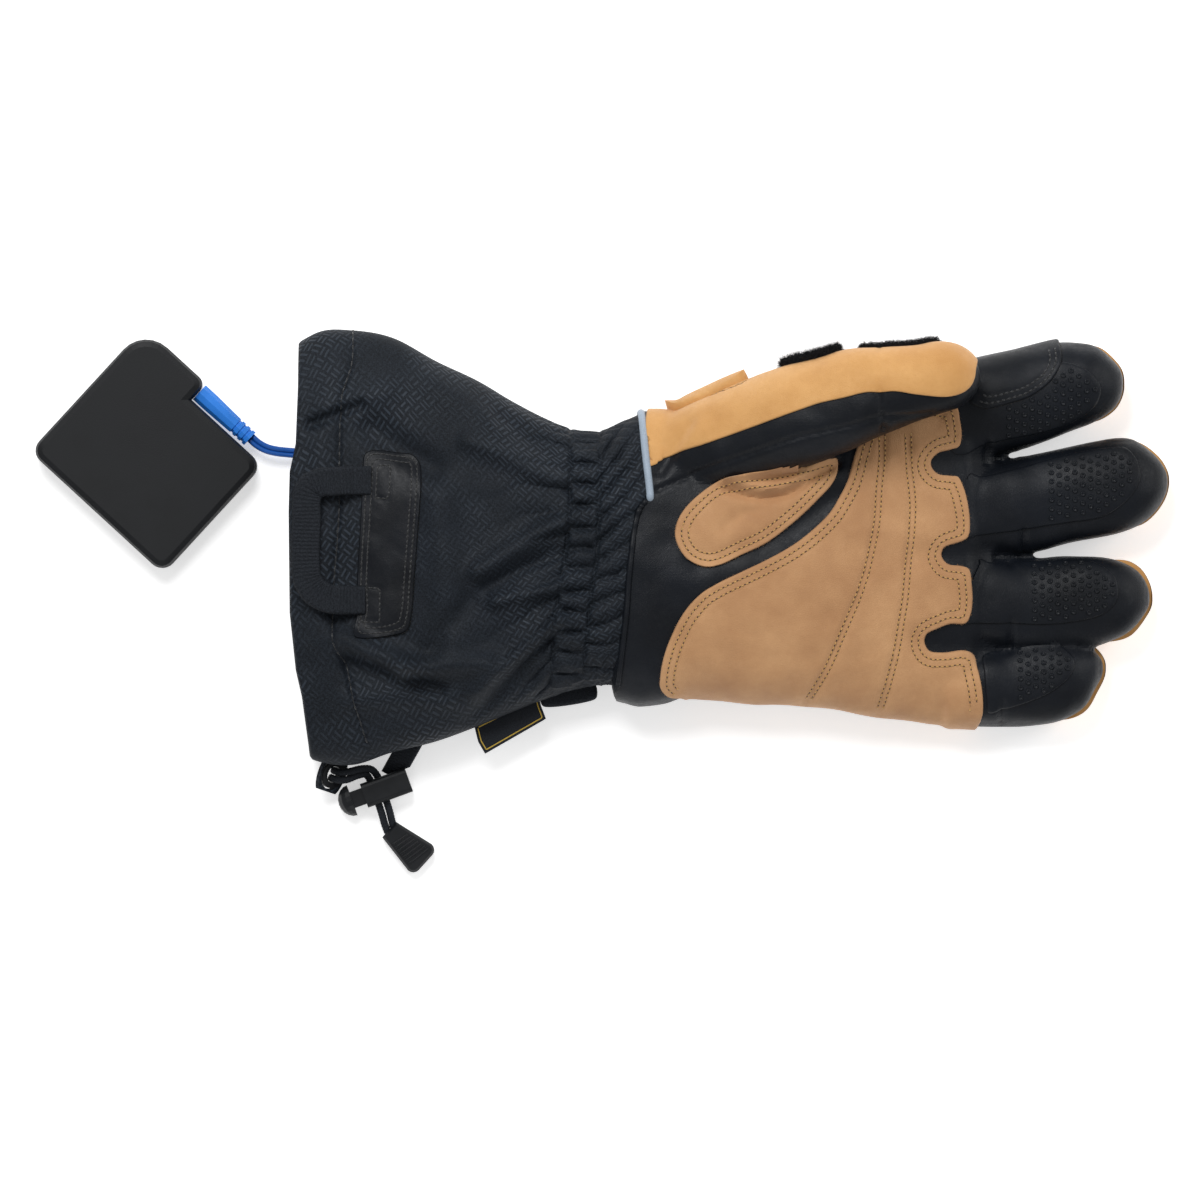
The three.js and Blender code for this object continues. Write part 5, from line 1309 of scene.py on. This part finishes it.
TIP_PANEL_PX = {
    "index": [(952, 448), (1008, 439), (1052, 429), (1081, 417), (1096, 404), (1100, 390), (1095, 379),
              (1081, 368), (1062, 363), (1040, 375), (1005, 392), (952, 395)],
    "middle": [(952, 480), (979, 478), (1006, 472), (1040, 463), (1075, 454), (1109, 448), (1125, 448),
               (1135, 458), (1140, 474), (1135, 489), (1123, 503), (1101, 516), (1058, 524), (1023, 530),
               (998, 533), (975, 535), (952, 534), (950, 505)],
    "ring": [(952, 566), (975, 565), (1000, 564), (1048, 562), (1079, 561), (1100, 566), (1114, 577), (1118, 590),
             (1114, 604), (1100, 615), (1071, 622), (1040, 624), (1009, 623), (977, 623), (952, 620), (950, 595)],
    "little": [(984, 656), (1000, 651), (1019, 648), (1048, 645), (1063, 648), (1074, 660), (1070, 675),
               (1048, 693), (1003, 709), (988, 712), (986, 700), (984, 676)],
}
PILE_FIBRES = 5200
DOTS_FROM_PX = {"index": 1008, "middle": 1051, "ring": 1034, "little": 1020}
BACK_CAPS = {"index": 0.5, "middle": 0.6, "ring": 1.1, "little": 1.1}
BACK_CAP_LENGTH = 19.0
PALM_SHEET = 1.3
# How far above the plain skin to look where pieces ride on folds or cross the thumb
FAR_REACH = 9.0
STITCH = {"pitch": 1.8, "width": 0.62, "rows": (2.3, 4.7), "seam_rows": (-1.05, 1.05)}


def fray(name, skin, tree, line, material, per_mm=3.0, length=0.8, width=0.07, up=0.7, seed=2):
    """Loose fibres along a cut edge given in (x, s)."""
    even = resample(line, 1 / per_mm)
    spots, normals = drape(skin, tree, even, 3.0)
    ways = np.gradient(spots, axis=0)
    side = np.cross(normals, ways)
    side /= np.maximum(np.linalg.norm(side, axis=1), 1e-9)[:, None]
    rng = np.random.default_rng(seed)
    out = side * rng.choice((-1, 1), (len(side), 1))
    return fibres(name, spots + normals * up, out + normals * 0.6, length, width, material, seed)


def groove(lines, depth, width):
    """Relief that sinks along lines in (x, s)."""
    def relief(flat):
        height = np.zeros(len(flat))
        for line in lines:
            height -= depth * bell(distance_to(flat, line), width)
        return height
    return relief


def make_palm():
    """The big palm patch and the thenar patch, with their stitches and cut edges."""
    skin, tree = BUILT["hand_skin"], BUILT["hand_tree"]
    edge = to_flat(skin, smooth_line(at_px(PALM_EDGE_PX), 0.5))
    below = np.column_stack((np.linspace(edge[-1, 0], edge[0, 0], 200), np.zeros(200)))
    below[:, 1] = np.interp(below[:, 0], skin.x, skin.top) + 7.0
    outline = np.vstack((edge, below[2:-2]))
    open_edge = edge[8:-6]
    rows = [offset_line(open_edge, outline, by) for by in STITCH["rows"]]
    seams = [to_flat(skin, smooth_line(at_px(px), 0.6)) for px in PALM_SEAMS_PX]
    beside = [seam + inward(seam, 1) * by for seam in seams for by in STITCH["seam_rows"]]
    corner = to_flat(skin, at_px([(945, 668), (968, 690)]))

    def over_root(flat):
        """How far above the skin to look: more at the corner that rides up the little finger's root."""
        (left, first), (right, last) = corner
        return 3.0 + 6.0 * ease(flat[:, 0], left, right) * ease(flat[:, 1], first, last)

    top = lay("palm_leather", skin, tree, outline, PALM_SHEET, "tan", "tan_leather", "palm_patch", grid=1.2,
              relief=groove([*rows, *beside], 0.4, 0.5), reach=over_root)
    place(sew("palm_stitches", skin, top, rows + beside, "tan_thread", "hole_shade", STITCH["pitch"], STITCH["width"]),
          "tan_leather")
    place(fray("palm_edge_fibres", skin, tree, open_edge, "tan_edge", up=0.8), "tan_leather")

    outline = to_flat(skin, smooth_line(at_px(THENAR_PX), 0.5, closed=True))[:-1]
    closed = np.vstack((outline, outline[:1]))
    rows = [offset_line(closed, outline, by) for by in STITCH["rows"]]
    fold = to_flat(skin, smooth_line(at_px(THENAR_FOLD_PX), 0.6))

    def folded(flat):
        """Stitch grooves, and the fold that the thumb presses into the patch."""
        sunk = 1.0 * bell(distance_to(flat, fold), 1.5)
        lip = 1.7 * bell(distance_to(flat, fold + [0, -3.2]), 2.4)
        return groove(rows, 0.35, 0.45)(flat) - sunk + lip

    top = lay("thenar_leather", skin, tree, outline, PALM_SHEET, "tan", "tan_leather", "thenar_patch", grid=0.9,
              relief=folded, reach=FAR_REACH, sink=3.5)
    place(sew("thenar_stitches", skin, top, rows, "tan_thread", "hole_shade", STITCH["pitch"], STITCH["width"],
              reach=FAR_REACH), "tan_leather")
    place(fray("thenar_edge_fibres", skin, tree, closed, "tan_edge", up=0.8), "tan_leather")


def make_index_patch():
    """The black patch round the side of the index finger's root."""
    skin, tree = BUILT["index_skin"], BUILT["hand_tree"]
    edge = to_flat(skin, smooth_line(at_px(INDEX_PATCH_PX), 0.5))
    left, right = edge[-1, 0], edge[0, 0]
    under = [(left, 6.0), (left, 0.0), (left, -5.0), ((left + right) / 2, -6.0), (right, -6.0)]
    outline = np.vstack((edge, under))
    outline = resample(np.vstack((outline, outline[:1])), 0.6)[:-1]
    rows = [offset_line(edge[6:-4], outline, by) for by in (1.8, 3.9)]
    top = lay("index_leather_patch", skin, tree, outline, 1.4, "leather", "black_suede", "index_overlay",
              relief=groove(rows, 0.35, 0.45), reach=3.5)
    place(sew("index_stitches", skin, top, rows, "black_thread", "black_hole_shade", 2.0, 0.6), "black_suede")
    place(fray("index_edge_fibres", skin, tree, edge, "cut_edge", 4.0, 0.8, up=0.9), "black_suede")


def make_thumb_pieces():
    """Tan panel on the thumb's back, and the pad, terry and suede along its edge."""
    skin, tree = BUILT["thumb_skin"], BUILT["hand_tree"]
    edge = to_flat(skin, smooth_line(at_px(THUMB_EDGE_PX), 0.5))
    down = np.linspace(edge[-1, 0], edge[0, 0], 60)
    wrapped = np.linspace(-4.0, -17.0, 60) * ease(down, edge[-1, 0] + 1, edge[-1, 0] - 9)
    below = np.column_stack((down, wrapped - 2.0))
    outline = resample(np.vstack((edge, below, edge[:1])), 0.6)[:-1]
    cross = to_flat(skin, at_px([(878, 350), (877, 370), (878, 394)]))
    pad_px = [(668, 412), (680, 406), (703, 400), (736, 388), (752, 380)]
    pad_line = to_flat(skin, smooth_line(at_px(pad_px), 0.6))
    top = lay("thumb_back_leather", skin, tree, outline, 1.0, "back", "tan_back", "thumb_back_panel", grid=1.2,
              relief=groove([cross, pad_line], 0.5, 0.6), reach=FAR_REACH)
    place(sew("thumb_stitches", skin, top, [pad_line[3:-3]], "tan_thread", "hole_shade", 1.9, 0.5,
              reach=FAR_REACH), "tan_back")

    def strip(name, from_px, to_px, high, low, thick, material, slot, node, bulge=0.0):
        """A piece along the thumb's back edge, between two distances round it."""
        first, last = at_px([(from_px, 0), (to_px, 0)])[:, 0]
        xs = np.linspace(first, last, 40)
        upper = high - 4.5 * (np.abs(np.linspace(-1, 1, 40)) ** 5)
        line = np.vstack((np.column_stack((xs, upper)), np.column_stack((xs[::-1], np.full(40, low)))))
        rim = resample(np.vstack((line, line[:1])), 0.6)[:-1]
        middle, half = (high + low) / 2, (high - low) / 2

        def puff(flat):
            return bulge * np.clip(1 - ((flat[:, 1] - middle) / half) ** 2, 0, 1)

        made = sheet(name, skin, top, rim, thick, material, grid=0.9, relief=puff, reach=FAR_REACH)
        return place(made, slot, node)

    pad = strip("thumb_padded_strip", 673, 749, 2.5, -11.0, 1.4, "back", "tan_back", "thumb_side_pad", 2.6)
    for name, span_px, high, thick, node, length, material in (
        ("thumb_terry", (783, 840), 2.6, 2.0, "terry_wipe", 2.0, "terry"),
        ("thumb_suede", (859, 937), 1.2, 1.2, "suede_strip", 1.2, "suede"),
    ):
        made = strip(name, *span_px, high, -9.0, thick, material, "black_suede", node)
        verts, normals, _ = read_mesh(made)
        rng = np.random.default_rng(5)
        chosen = rng.choice(len(verts) // 2, PILE_FIBRES)
        roots = verts[chosen] + rng.normal(0, 0.35, (PILE_FIBRES, 3))
        place(fibres(name + "_pile", roots, normals[chosen], length, 0.16, material, 6, 0.6, 1.1),
              "black_suede")


def dot_mesh(spots, normals, radius, high, sides=10):
    """Raised grip dots, each with a rim and a dimple."""
    ways = np.cross(normals, (0.3, 1.0, 0.2))
    ways /= np.linalg.norm(ways, axis=1)[:, None]
    side = np.cross(normals, ways)
    profile = [(1.15, -0.3), (1.0, 0.55), (0.82, 1.0), (0.6, 0.9), (0.38, 0.35), (0.0, 0.3)]
    verts = []
    for out, up in profile:
        for angle in np.linspace(0, 2 * np.pi, sides, endpoint=False):
            verts.append(spots + (ways * math.cos(angle) + side * math.sin(angle)) * out * radius
                         + normals * up * high)
    verts = np.array(verts).transpose(1, 0, 2)
    each = len(profile) * sides
    faces = ring_faces(len(profile), sides)
    return verts.reshape(-1, 3), [tuple(i + n * each for i in f) for n in range(len(spots)) for f in faces]


def make_fingertips():
    """Front panels with grip dots, and the tan backs that show past the fingertips."""
    tree = BUILT["hand_tree"]
    pitch = 3.2
    for name, px in TIP_PANEL_PX.items():
        skin = BUILT[name + "_skin"]
        outline = to_flat(skin, smooth_line(at_px(px), 0.5, closed=True))[:-1]
        node = [] if name == "index" else [name + "_tip_pad"]
        top = lay(name + "_front_panel", skin, tree, outline, 0.8, "leather", "black_leather", *node,
                  reach=3.0, edge=0.7)
        xs = np.arange(at_px([(DOTS_FROM_PX[name], 0)])[0, 0], outline[:, 0].max(), pitch * 0.87)
        ss = np.arange(outline[:, 1].min(), outline[:, 1].max(), pitch)
        spots = np.array([(x, s + (i % 2) * pitch / 2) for i, x in enumerate(xs) for s in ss])
        closed = np.vstack((outline, outline[:1]))
        spots = spots[inside(spots, outline) & (distance_to(spots, closed) > 1.7)]
        if name == "index":
            hidden = to_flat(skin, at_px([*INDEX_PATCH_PX, (960, 404), (960, 330), (1059, 330)]))
            spots = spots[~inside(spots, hidden) & (distance_to(spots, hidden[:8]) > 1.4)]
        landed, normals = drape(skin, top, spots, 3.0)
        place(add_object(name + "_grip_dots", *dot_mesh(landed, normals, 0.95, 0.5), "leather"),
              "black_leather")
        start = at_px([(max(x for x, _ in FINGER_PX[name]), 0)])[0, 0] - BACK_CAP_LENGTH
        rings = finger_rings(name, 60, even_angles(40, 40), start, BACK_CAPS[name])
        low = FINGER_THICK[name] * 0.45
        inset = 1 - 0.14 * ease(start + 14 - rings[:, :, 0], 0, 14)
        centre = rings[:, :, 1].mean(axis=1, keepdims=True)
        rings[:, :, 1] = centre + (rings[:, :, 1] - centre) * inset
        rings[:, :, 2] = np.minimum(rings[:, :, 2], low)
        node = [name + "_back_cap"] if name in ("ring", "little") else []
        solid(name + "_back_leather", loft_mesh(rings), "back", "tan_back", *node)


def make_wrist_seam():
    """The turned edge in the seam between gauntlet and palm."""
    skin = BUILT["hand_skin"]
    line = resample(to_flat(skin, smooth_line(at_px(SEAM_PX[3:-1]), 0.6))[5:], 0.6) + [0.8, 0.0]
    spots, normals = drape(skin, BUILT["hand_tree"], line, 6.0)
    solid("wrist_seam_edge", tube_mesh(spots + normals * 0.5, 1.1, 1.1, 10), "leather", "black_leather")


def make_piping():
    """Reflective piping that stands up out of the wrist seam at the thumb's side."""
    skin, tree = BUILT["hand_skin"], BUILT["hand_tree"]
    plan = smooth_line(at_px([(640, 404), (642, 418), (645, 450), (650, 495), (650, 500)]), 0.5)
    spots, normals = drape(skin, tree, to_flat(skin, plan), 9.0, 20.0)
    for _ in range(6):
        spots[1:-1] = (spots[:-2] + 2 * spots[1:-1] + spots[2:]) / 4
    sunk = 1 - ease(np.abs(np.linspace(-1, 1, len(spots))), 0.93, 1.0)
    solid("seam_piping", tube_mesh(spots + normals * (2.2 * sunk - 1.5)[:, None], 1.35, 1.35, 14), "piping",
          "reflective_piping", "piping")


# Strap, label and tabs on the gauntlet

STRAP_PATCH_PX = [(367, 453), (400, 452), (413, 454), (420, 462), (422, 480), (419, 531), (415, 582), (412, 618),
                  (408, 630), (395, 635), (358, 635), (356, 627), (359, 608), (358, 582), (361, 531), (364, 480)]
BOX_STITCHES_PX = [[(379, 466), (392, 466), (390, 499), (377, 499), (379, 466)],
                   [(363, 588), (381, 588), (381, 622), (362, 622), (363, 588)]]
STRAP_PX = [(372, 481), (350, 481), (335, 482), (322, 483), (312, 488), (308, 499), (308, 520), (307, 545),
            (307, 565), (309, 580), (316, 591), (328, 598), (342, 600), (366, 600)]
STRAP = {"width": 10.3, "thick": 1.7, "rib": 1.35, "depth": 0.22, "lift": 3.6}
LABEL_PX = [(474, 726), (478, 742), (485, 754), (546, 719), (541, 706), (538, 694)]
LABEL_HEIGHTS = (13.5, 14.4)
TAB_HEIGHTS = (5.0, 13.5)
WRIST_TAB_PX = [(540, 690), (541, 704), (544, 707), (594, 700), (597, 697), (594, 683)]


def make_strap():
    """The sewn patch on the gauntlet, and the webbing loop that rises from it."""
    skin, tree = BUILT["cuff_skin"], BUILT["cuff_tree"]
    outline = to_flat(skin, smooth_line(at_px(STRAP_PATCH_PX), 0.5, closed=True))[:-1]
    closed = np.vstack((outline, outline[:1]))
    rows = [offset_line(closed, outline, by) for by in (1.5, 3.4)]
    boxes = [to_flat(skin, resample(at_px(px), 0.5)) for px in BOX_STITCHES_PX]
    top = lay("strap_leather_patch", skin, tree, outline, 1.3, "leather", "black_suede", "strap_patch",
              relief=groove([*rows, *boxes], 0.3, 0.45), reach=FAR_REACH)
    place(sew("strap_patch_stitches", skin, top, rows + boxes, "black_thread", "black_hole_shade", 1.9, 0.55,
              reach=FAR_REACH), "black_suede")
    place(fray("strap_patch_fibres", skin, tree, closed, "cut_edge", 4.0, 0.6, up=0.8), "black_suede")
    plan = smooth_line(at_px(STRAP_PX), 0.22)
    sewn, _ = drape(skin, top, to_flat(skin, plan), 9.0, 18.0)
    edge = at_px([(362, 0)])[0, 0]
    level = np.interp(np.arange(len(plan)), [0, len(plan) - 1], [sewn[:20, 2].mean(), sewn[-20:, 2].mean()])
    lift = STRAP["lift"] * ease(edge - plan[:, 0], 0, 9)
    line = np.column_stack((plan, level + 0.9 + lift))
    mesh = strap_mesh(line, STRAP["width"], STRAP["thick"], STRAP["rib"], STRAP["depth"])
    solid("pull_webbing", mesh, "webbing", "webbing", "pull_strap")


def make_label():
    """The bare side label with its border, and the black tab at the wrist's side."""
    outline = resample(at_px([*LABEL_PX, LABEL_PX[0]]), 1.2)[:-1]
    piece = solid("side_label_cloth", slab_mesh(outline, *LABEL_HEIGHTS, 0.3), "label",
                  "woven_label", "side_label")
    closed = np.vstack((outline, outline[:1]))
    inner = offset_line(closed, outline, 1.1)
    line = np.column_stack((inner, np.full(len(inner), LABEL_HEIGHTS[1] + 0.05)))
    solid("label_border", tube_mesh(line, 0.22, 0.12, 8), "border", "woven_label")
    outline = smooth_line(at_px(WRIST_TAB_PX), 0.8, closed=True)[:-1]
    solid("wrist_tab_cloth", slab_mesh(outline, *TAB_HEIGHTS, 1.6), "webbing", "webbing", "wrist_tab")


# Cord lock, eyelet, battery and plug

# The barrel lies at this angle; its webbing side passes through this point, in mm
LOCK_TURN = math.atan2(1.360553, 3.761502)
LOCK_WALL = np.array((-135.0, -82.0))
LOCK_STRAP_ENDS = np.array(((-131.9, -81.9, 3.4), (-122.3, -64.9, 11.5)))
TAB_HOLE = 5.6


def make_fittings():
    """Eyelet, cord lock with its strap, cord grip, and the tab that holds the eyelet."""
    finish_cad("grommet", "plastic", bevel=0.5)
    finish_cad("cord_lock_barrel", "plastic", bevel=0.4)
    finish_cad("cord_end", "plastic", bevel=0.3)
    finish_cad("cord_lock_plunger", "plastic", bevel=0.2, angle=35)
    turn = math.radians(-42)
    way, across = np.array((math.cos(turn), math.sin(turn))), np.array((-math.sin(turn), math.cos(turn)))
    ribs = []
    for at in np.arange(4.5, 14.5, 1.5):
        half = 2.6 + 0.13 * at
        ends = [np.array((-132.1, -101.4)) + way * (at + lean) + across * side
                for side, lean in ((-half, -0.8), (0, 0), (half, 0.8))]
        line = resample(np.array([(*end, 6.1) for end in ends]), 0.5)
        ribs.append(tube_mesh(line, 0.36, 0.34, 8))
    solid("cord_end_ribs", join_parts(ribs), "plastic", "black_plastic")
    axis = np.array((0.67, -0.24, 0.7))
    axis /= np.linalg.norm(axis)
    side = np.array((-axis[1], axis[0], 0.0))
    side /= np.linalg.norm(side)
    up = np.cross(side, axis)
    centre = np.array((-153.2, -80.8, 7.5))
    angles = np.linspace(0, 2 * np.pi, 48, endpoint=False)
    rings = [[centre + axis * thick + side * TAB_HOLE * math.cos(a) + up * TAB_HOLE * math.sin(a) for a in angles]
             for thick in (-0.6, 0.6)]
    rings += [[centre + axis * thick + side * (max(-6.6, min(9.0, 7.6 * math.cos(a) * 1.25)))
               + up * 6.2 * math.sin(a) for a in angles] for thick in (0.8, -0.8)]
    verts = np.array(rings).reshape(-1, 3)
    # From the last ring the faces go on to the first, so that the tab closes round its hole
    faces = [tuple(i % len(verts) for i in face) for face in ring_faces(5, 48)]
    verts[:, 2] = np.maximum(verts[:, 2], 0.05)
    solid("hem_tab_cloth", (verts, faces), "shell", "softshell", "hem_tab", smooth_angle=40, uv=verts[:, :2])
    t = np.linspace(0, 1, 70)[:, None]
    line = LOCK_STRAP_ENDS[0] * (1 - t) + LOCK_STRAP_ENDS[1] * t
    line[:, 2] += 0.8 * np.sin(np.pi * t[:, 0])
    verts, faces = strap_mesh(line, 8.3, 1.6, 1.3, 0.2)
    way = (line[-1] - line[0])[:2] / np.linalg.norm((line[-1] - line[0])[:2])
    wall = np.array((-math.sin(LOCK_TURN), math.cos(LOCK_TURN)))
    inside_barrel = np.maximum((LOCK_WALL - verts[:, :2]) @ wall, 0.0)
    verts[:, :2] += np.outer(inside_barrel / (way @ wall), way)
    solid("lock_strap", (verts, faces), "webbing", "webbing", "lock_webbing")


def make_battery():
    """The pack's edges soften as on a rubber-coated case; the plug stays as it is."""
    pack = finish_cad("battery_pack", "rubber", angle=70)
    soften = pack.modifiers.new("soft", "BEVEL")
    soften.width = 0.8 * MM
    soften.segments = 2
    soften.limit_method = "ANGLE"
    soften.angle_limit = math.radians(20)
    finish_cad("power_plug", "plug", angle=35)


# Panel and operators

class GloveSettings(bpy.types.PropertyGroup):
    """Sizes and a colour that can be changed in the sidebar before the pieces are made."""

    stitch_pitch: FloatProperty(name="Stitch pitch", description="Length of one stitch on the leather patches",
                                default=1.8 * MM, min=1.0 * MM, max=4.0 * MM, unit="LENGTH")
    thread_width: FloatProperty(name="Thread width", description="Thickness of the sewing thread",
                                default=0.62 * MM, min=0.2 * MM, max=1.0 * MM, unit="LENGTH")
    strap_width: FloatProperty(name="Strap width", description="Width of the pull loop's webbing",
                               default=10.3 * MM, min=6.0 * MM, max=14.0 * MM, unit="LENGTH")
    tan: FloatVectorProperty(name="Palm leather", description="Main colour of the palm's leather patches",
                             subtype="COLOR", size=3, default=linear(COLOURS["tan"])[:3], min=0, max=1)


def read_settings(context):
    """Takes the sidebar's sizes and colour over into the tables."""
    settings = context.scene.glove_settings
    STITCH["pitch"] = settings.stitch_pitch / MM
    STITCH["width"] = settings.thread_width / MM
    STRAP["width"] = settings.strap_width / MM
    COLOURS["tan"] = tuple(settings.tan)


class GLOVE_OT_stage(bpy.types.Operator):
    """Camera, light and table, and the materials"""
    bl_idname = "glove.stage"
    bl_label = "Stage and materials"

    def execute(self, context):
        read_settings(context)
        make_stage()
        make_materials()
        return {"FINISHED"}


class GLOVE_OT_cords(bpy.types.Operator):
    """Drawcords and the twin lead"""
    bl_idname = "glove.cords"
    bl_label = "Cords"

    def execute(self, context):
        make_cords()
        return {"FINISHED"}


class GLOVE_OT_gauntlet(bpy.types.Operator):
    """Gauntlet with its folds, hem and gathers"""
    bl_idname = "glove.gauntlet"
    bl_label = "Gauntlet"

    def execute(self, context):
        make_gauntlet()
        return {"FINISHED"}


class GLOVE_OT_hand(bpy.types.Operator):
    """Palm, fingers and thumb as one sewn leather skin"""
    bl_idname = "glove.hand"
    bl_label = "Hand"

    def execute(self, context):
        make_hand()
        return {"FINISHED"}


class GLOVE_OT_palm(bpy.types.Operator):
    """Tan patches on the palm with their stitching"""
    bl_idname = "glove.palm"
    bl_label = "Palm patches"

    def execute(self, context):
        make_palm()
        return {"FINISHED"}


class GLOVE_OT_fingers(bpy.types.Operator):
    """Index patch, front panels with grip dots, and the tan backs of the fingertips"""
    bl_idname = "glove.fingers"
    bl_label = "Finger panels"

    def execute(self, context):
        make_index_patch()
        make_fingertips()
        return {"FINISHED"}


class GLOVE_OT_thumb(bpy.types.Operator):
    """Tan panel, padded strip, terry and suede on the thumb"""
    bl_idname = "glove.thumb"
    bl_label = "Thumb pieces"

    def execute(self, context):
        make_thumb_pieces()
        return {"FINISHED"}


class GLOVE_OT_trim(bpy.types.Operator):
    """Seam edge, piping, pull loop with its patch, label and wrist tab"""
    bl_idname = "glove.trim"
    bl_label = "Trim"

    def execute(self, context):
        make_wrist_seam()
        make_piping()
        make_strap()
        make_label()
        return {"FINISHED"}


class GLOVE_OT_fittings(bpy.types.Operator):
    """Eyelet and its tab, cord lock and grip, battery pack and plug"""
    bl_idname = "glove.fittings"
    bl_label = "Fittings and battery"

    def execute(self, context):
        make_fittings()
        make_battery()
        return {"FINISHED"}


OPERATORS = (GLOVE_OT_stage, GLOVE_OT_cords, GLOVE_OT_gauntlet, GLOVE_OT_hand, GLOVE_OT_palm,
             GLOVE_OT_fingers, GLOVE_OT_thumb, GLOVE_OT_trim, GLOVE_OT_fittings)


class GLOVE_PT_panel(bpy.types.Panel):
    """Sizes and one button for each group of pieces"""
    bl_idname = "GLOVE_PT_panel"
    bl_label = "Heated gauntlet glove"
    bl_space_type = "VIEW_3D"
    bl_region_type = "UI"
    bl_category = "Glove"

    def draw(self, context):
        column = self.layout.column()
        for name in ("stitch_pitch", "thread_width", "strap_width", "tan"):
            column.prop(context.scene.glove_settings, name)
        for operator in OPERATORS:
            column.operator(operator.bl_idname)


CLASSES = (GloveSettings, *OPERATORS, GLOVE_PT_panel)


def register():
    for one in CLASSES:
        bpy.utils.register_class(one)
    bpy.types.Scene.glove_settings = PointerProperty(type=GloveSettings)


def unregister():
    del bpy.types.Scene.glove_settings
    for one in reversed(CLASSES):
        bpy.utils.unregister_class(one)


def main():
    register()
    for operator in OPERATORS:
        group, name = operator.bl_idname.split(".")
        getattr(getattr(bpy.ops, group), name)()


if __name__ == "__main__":
    main()
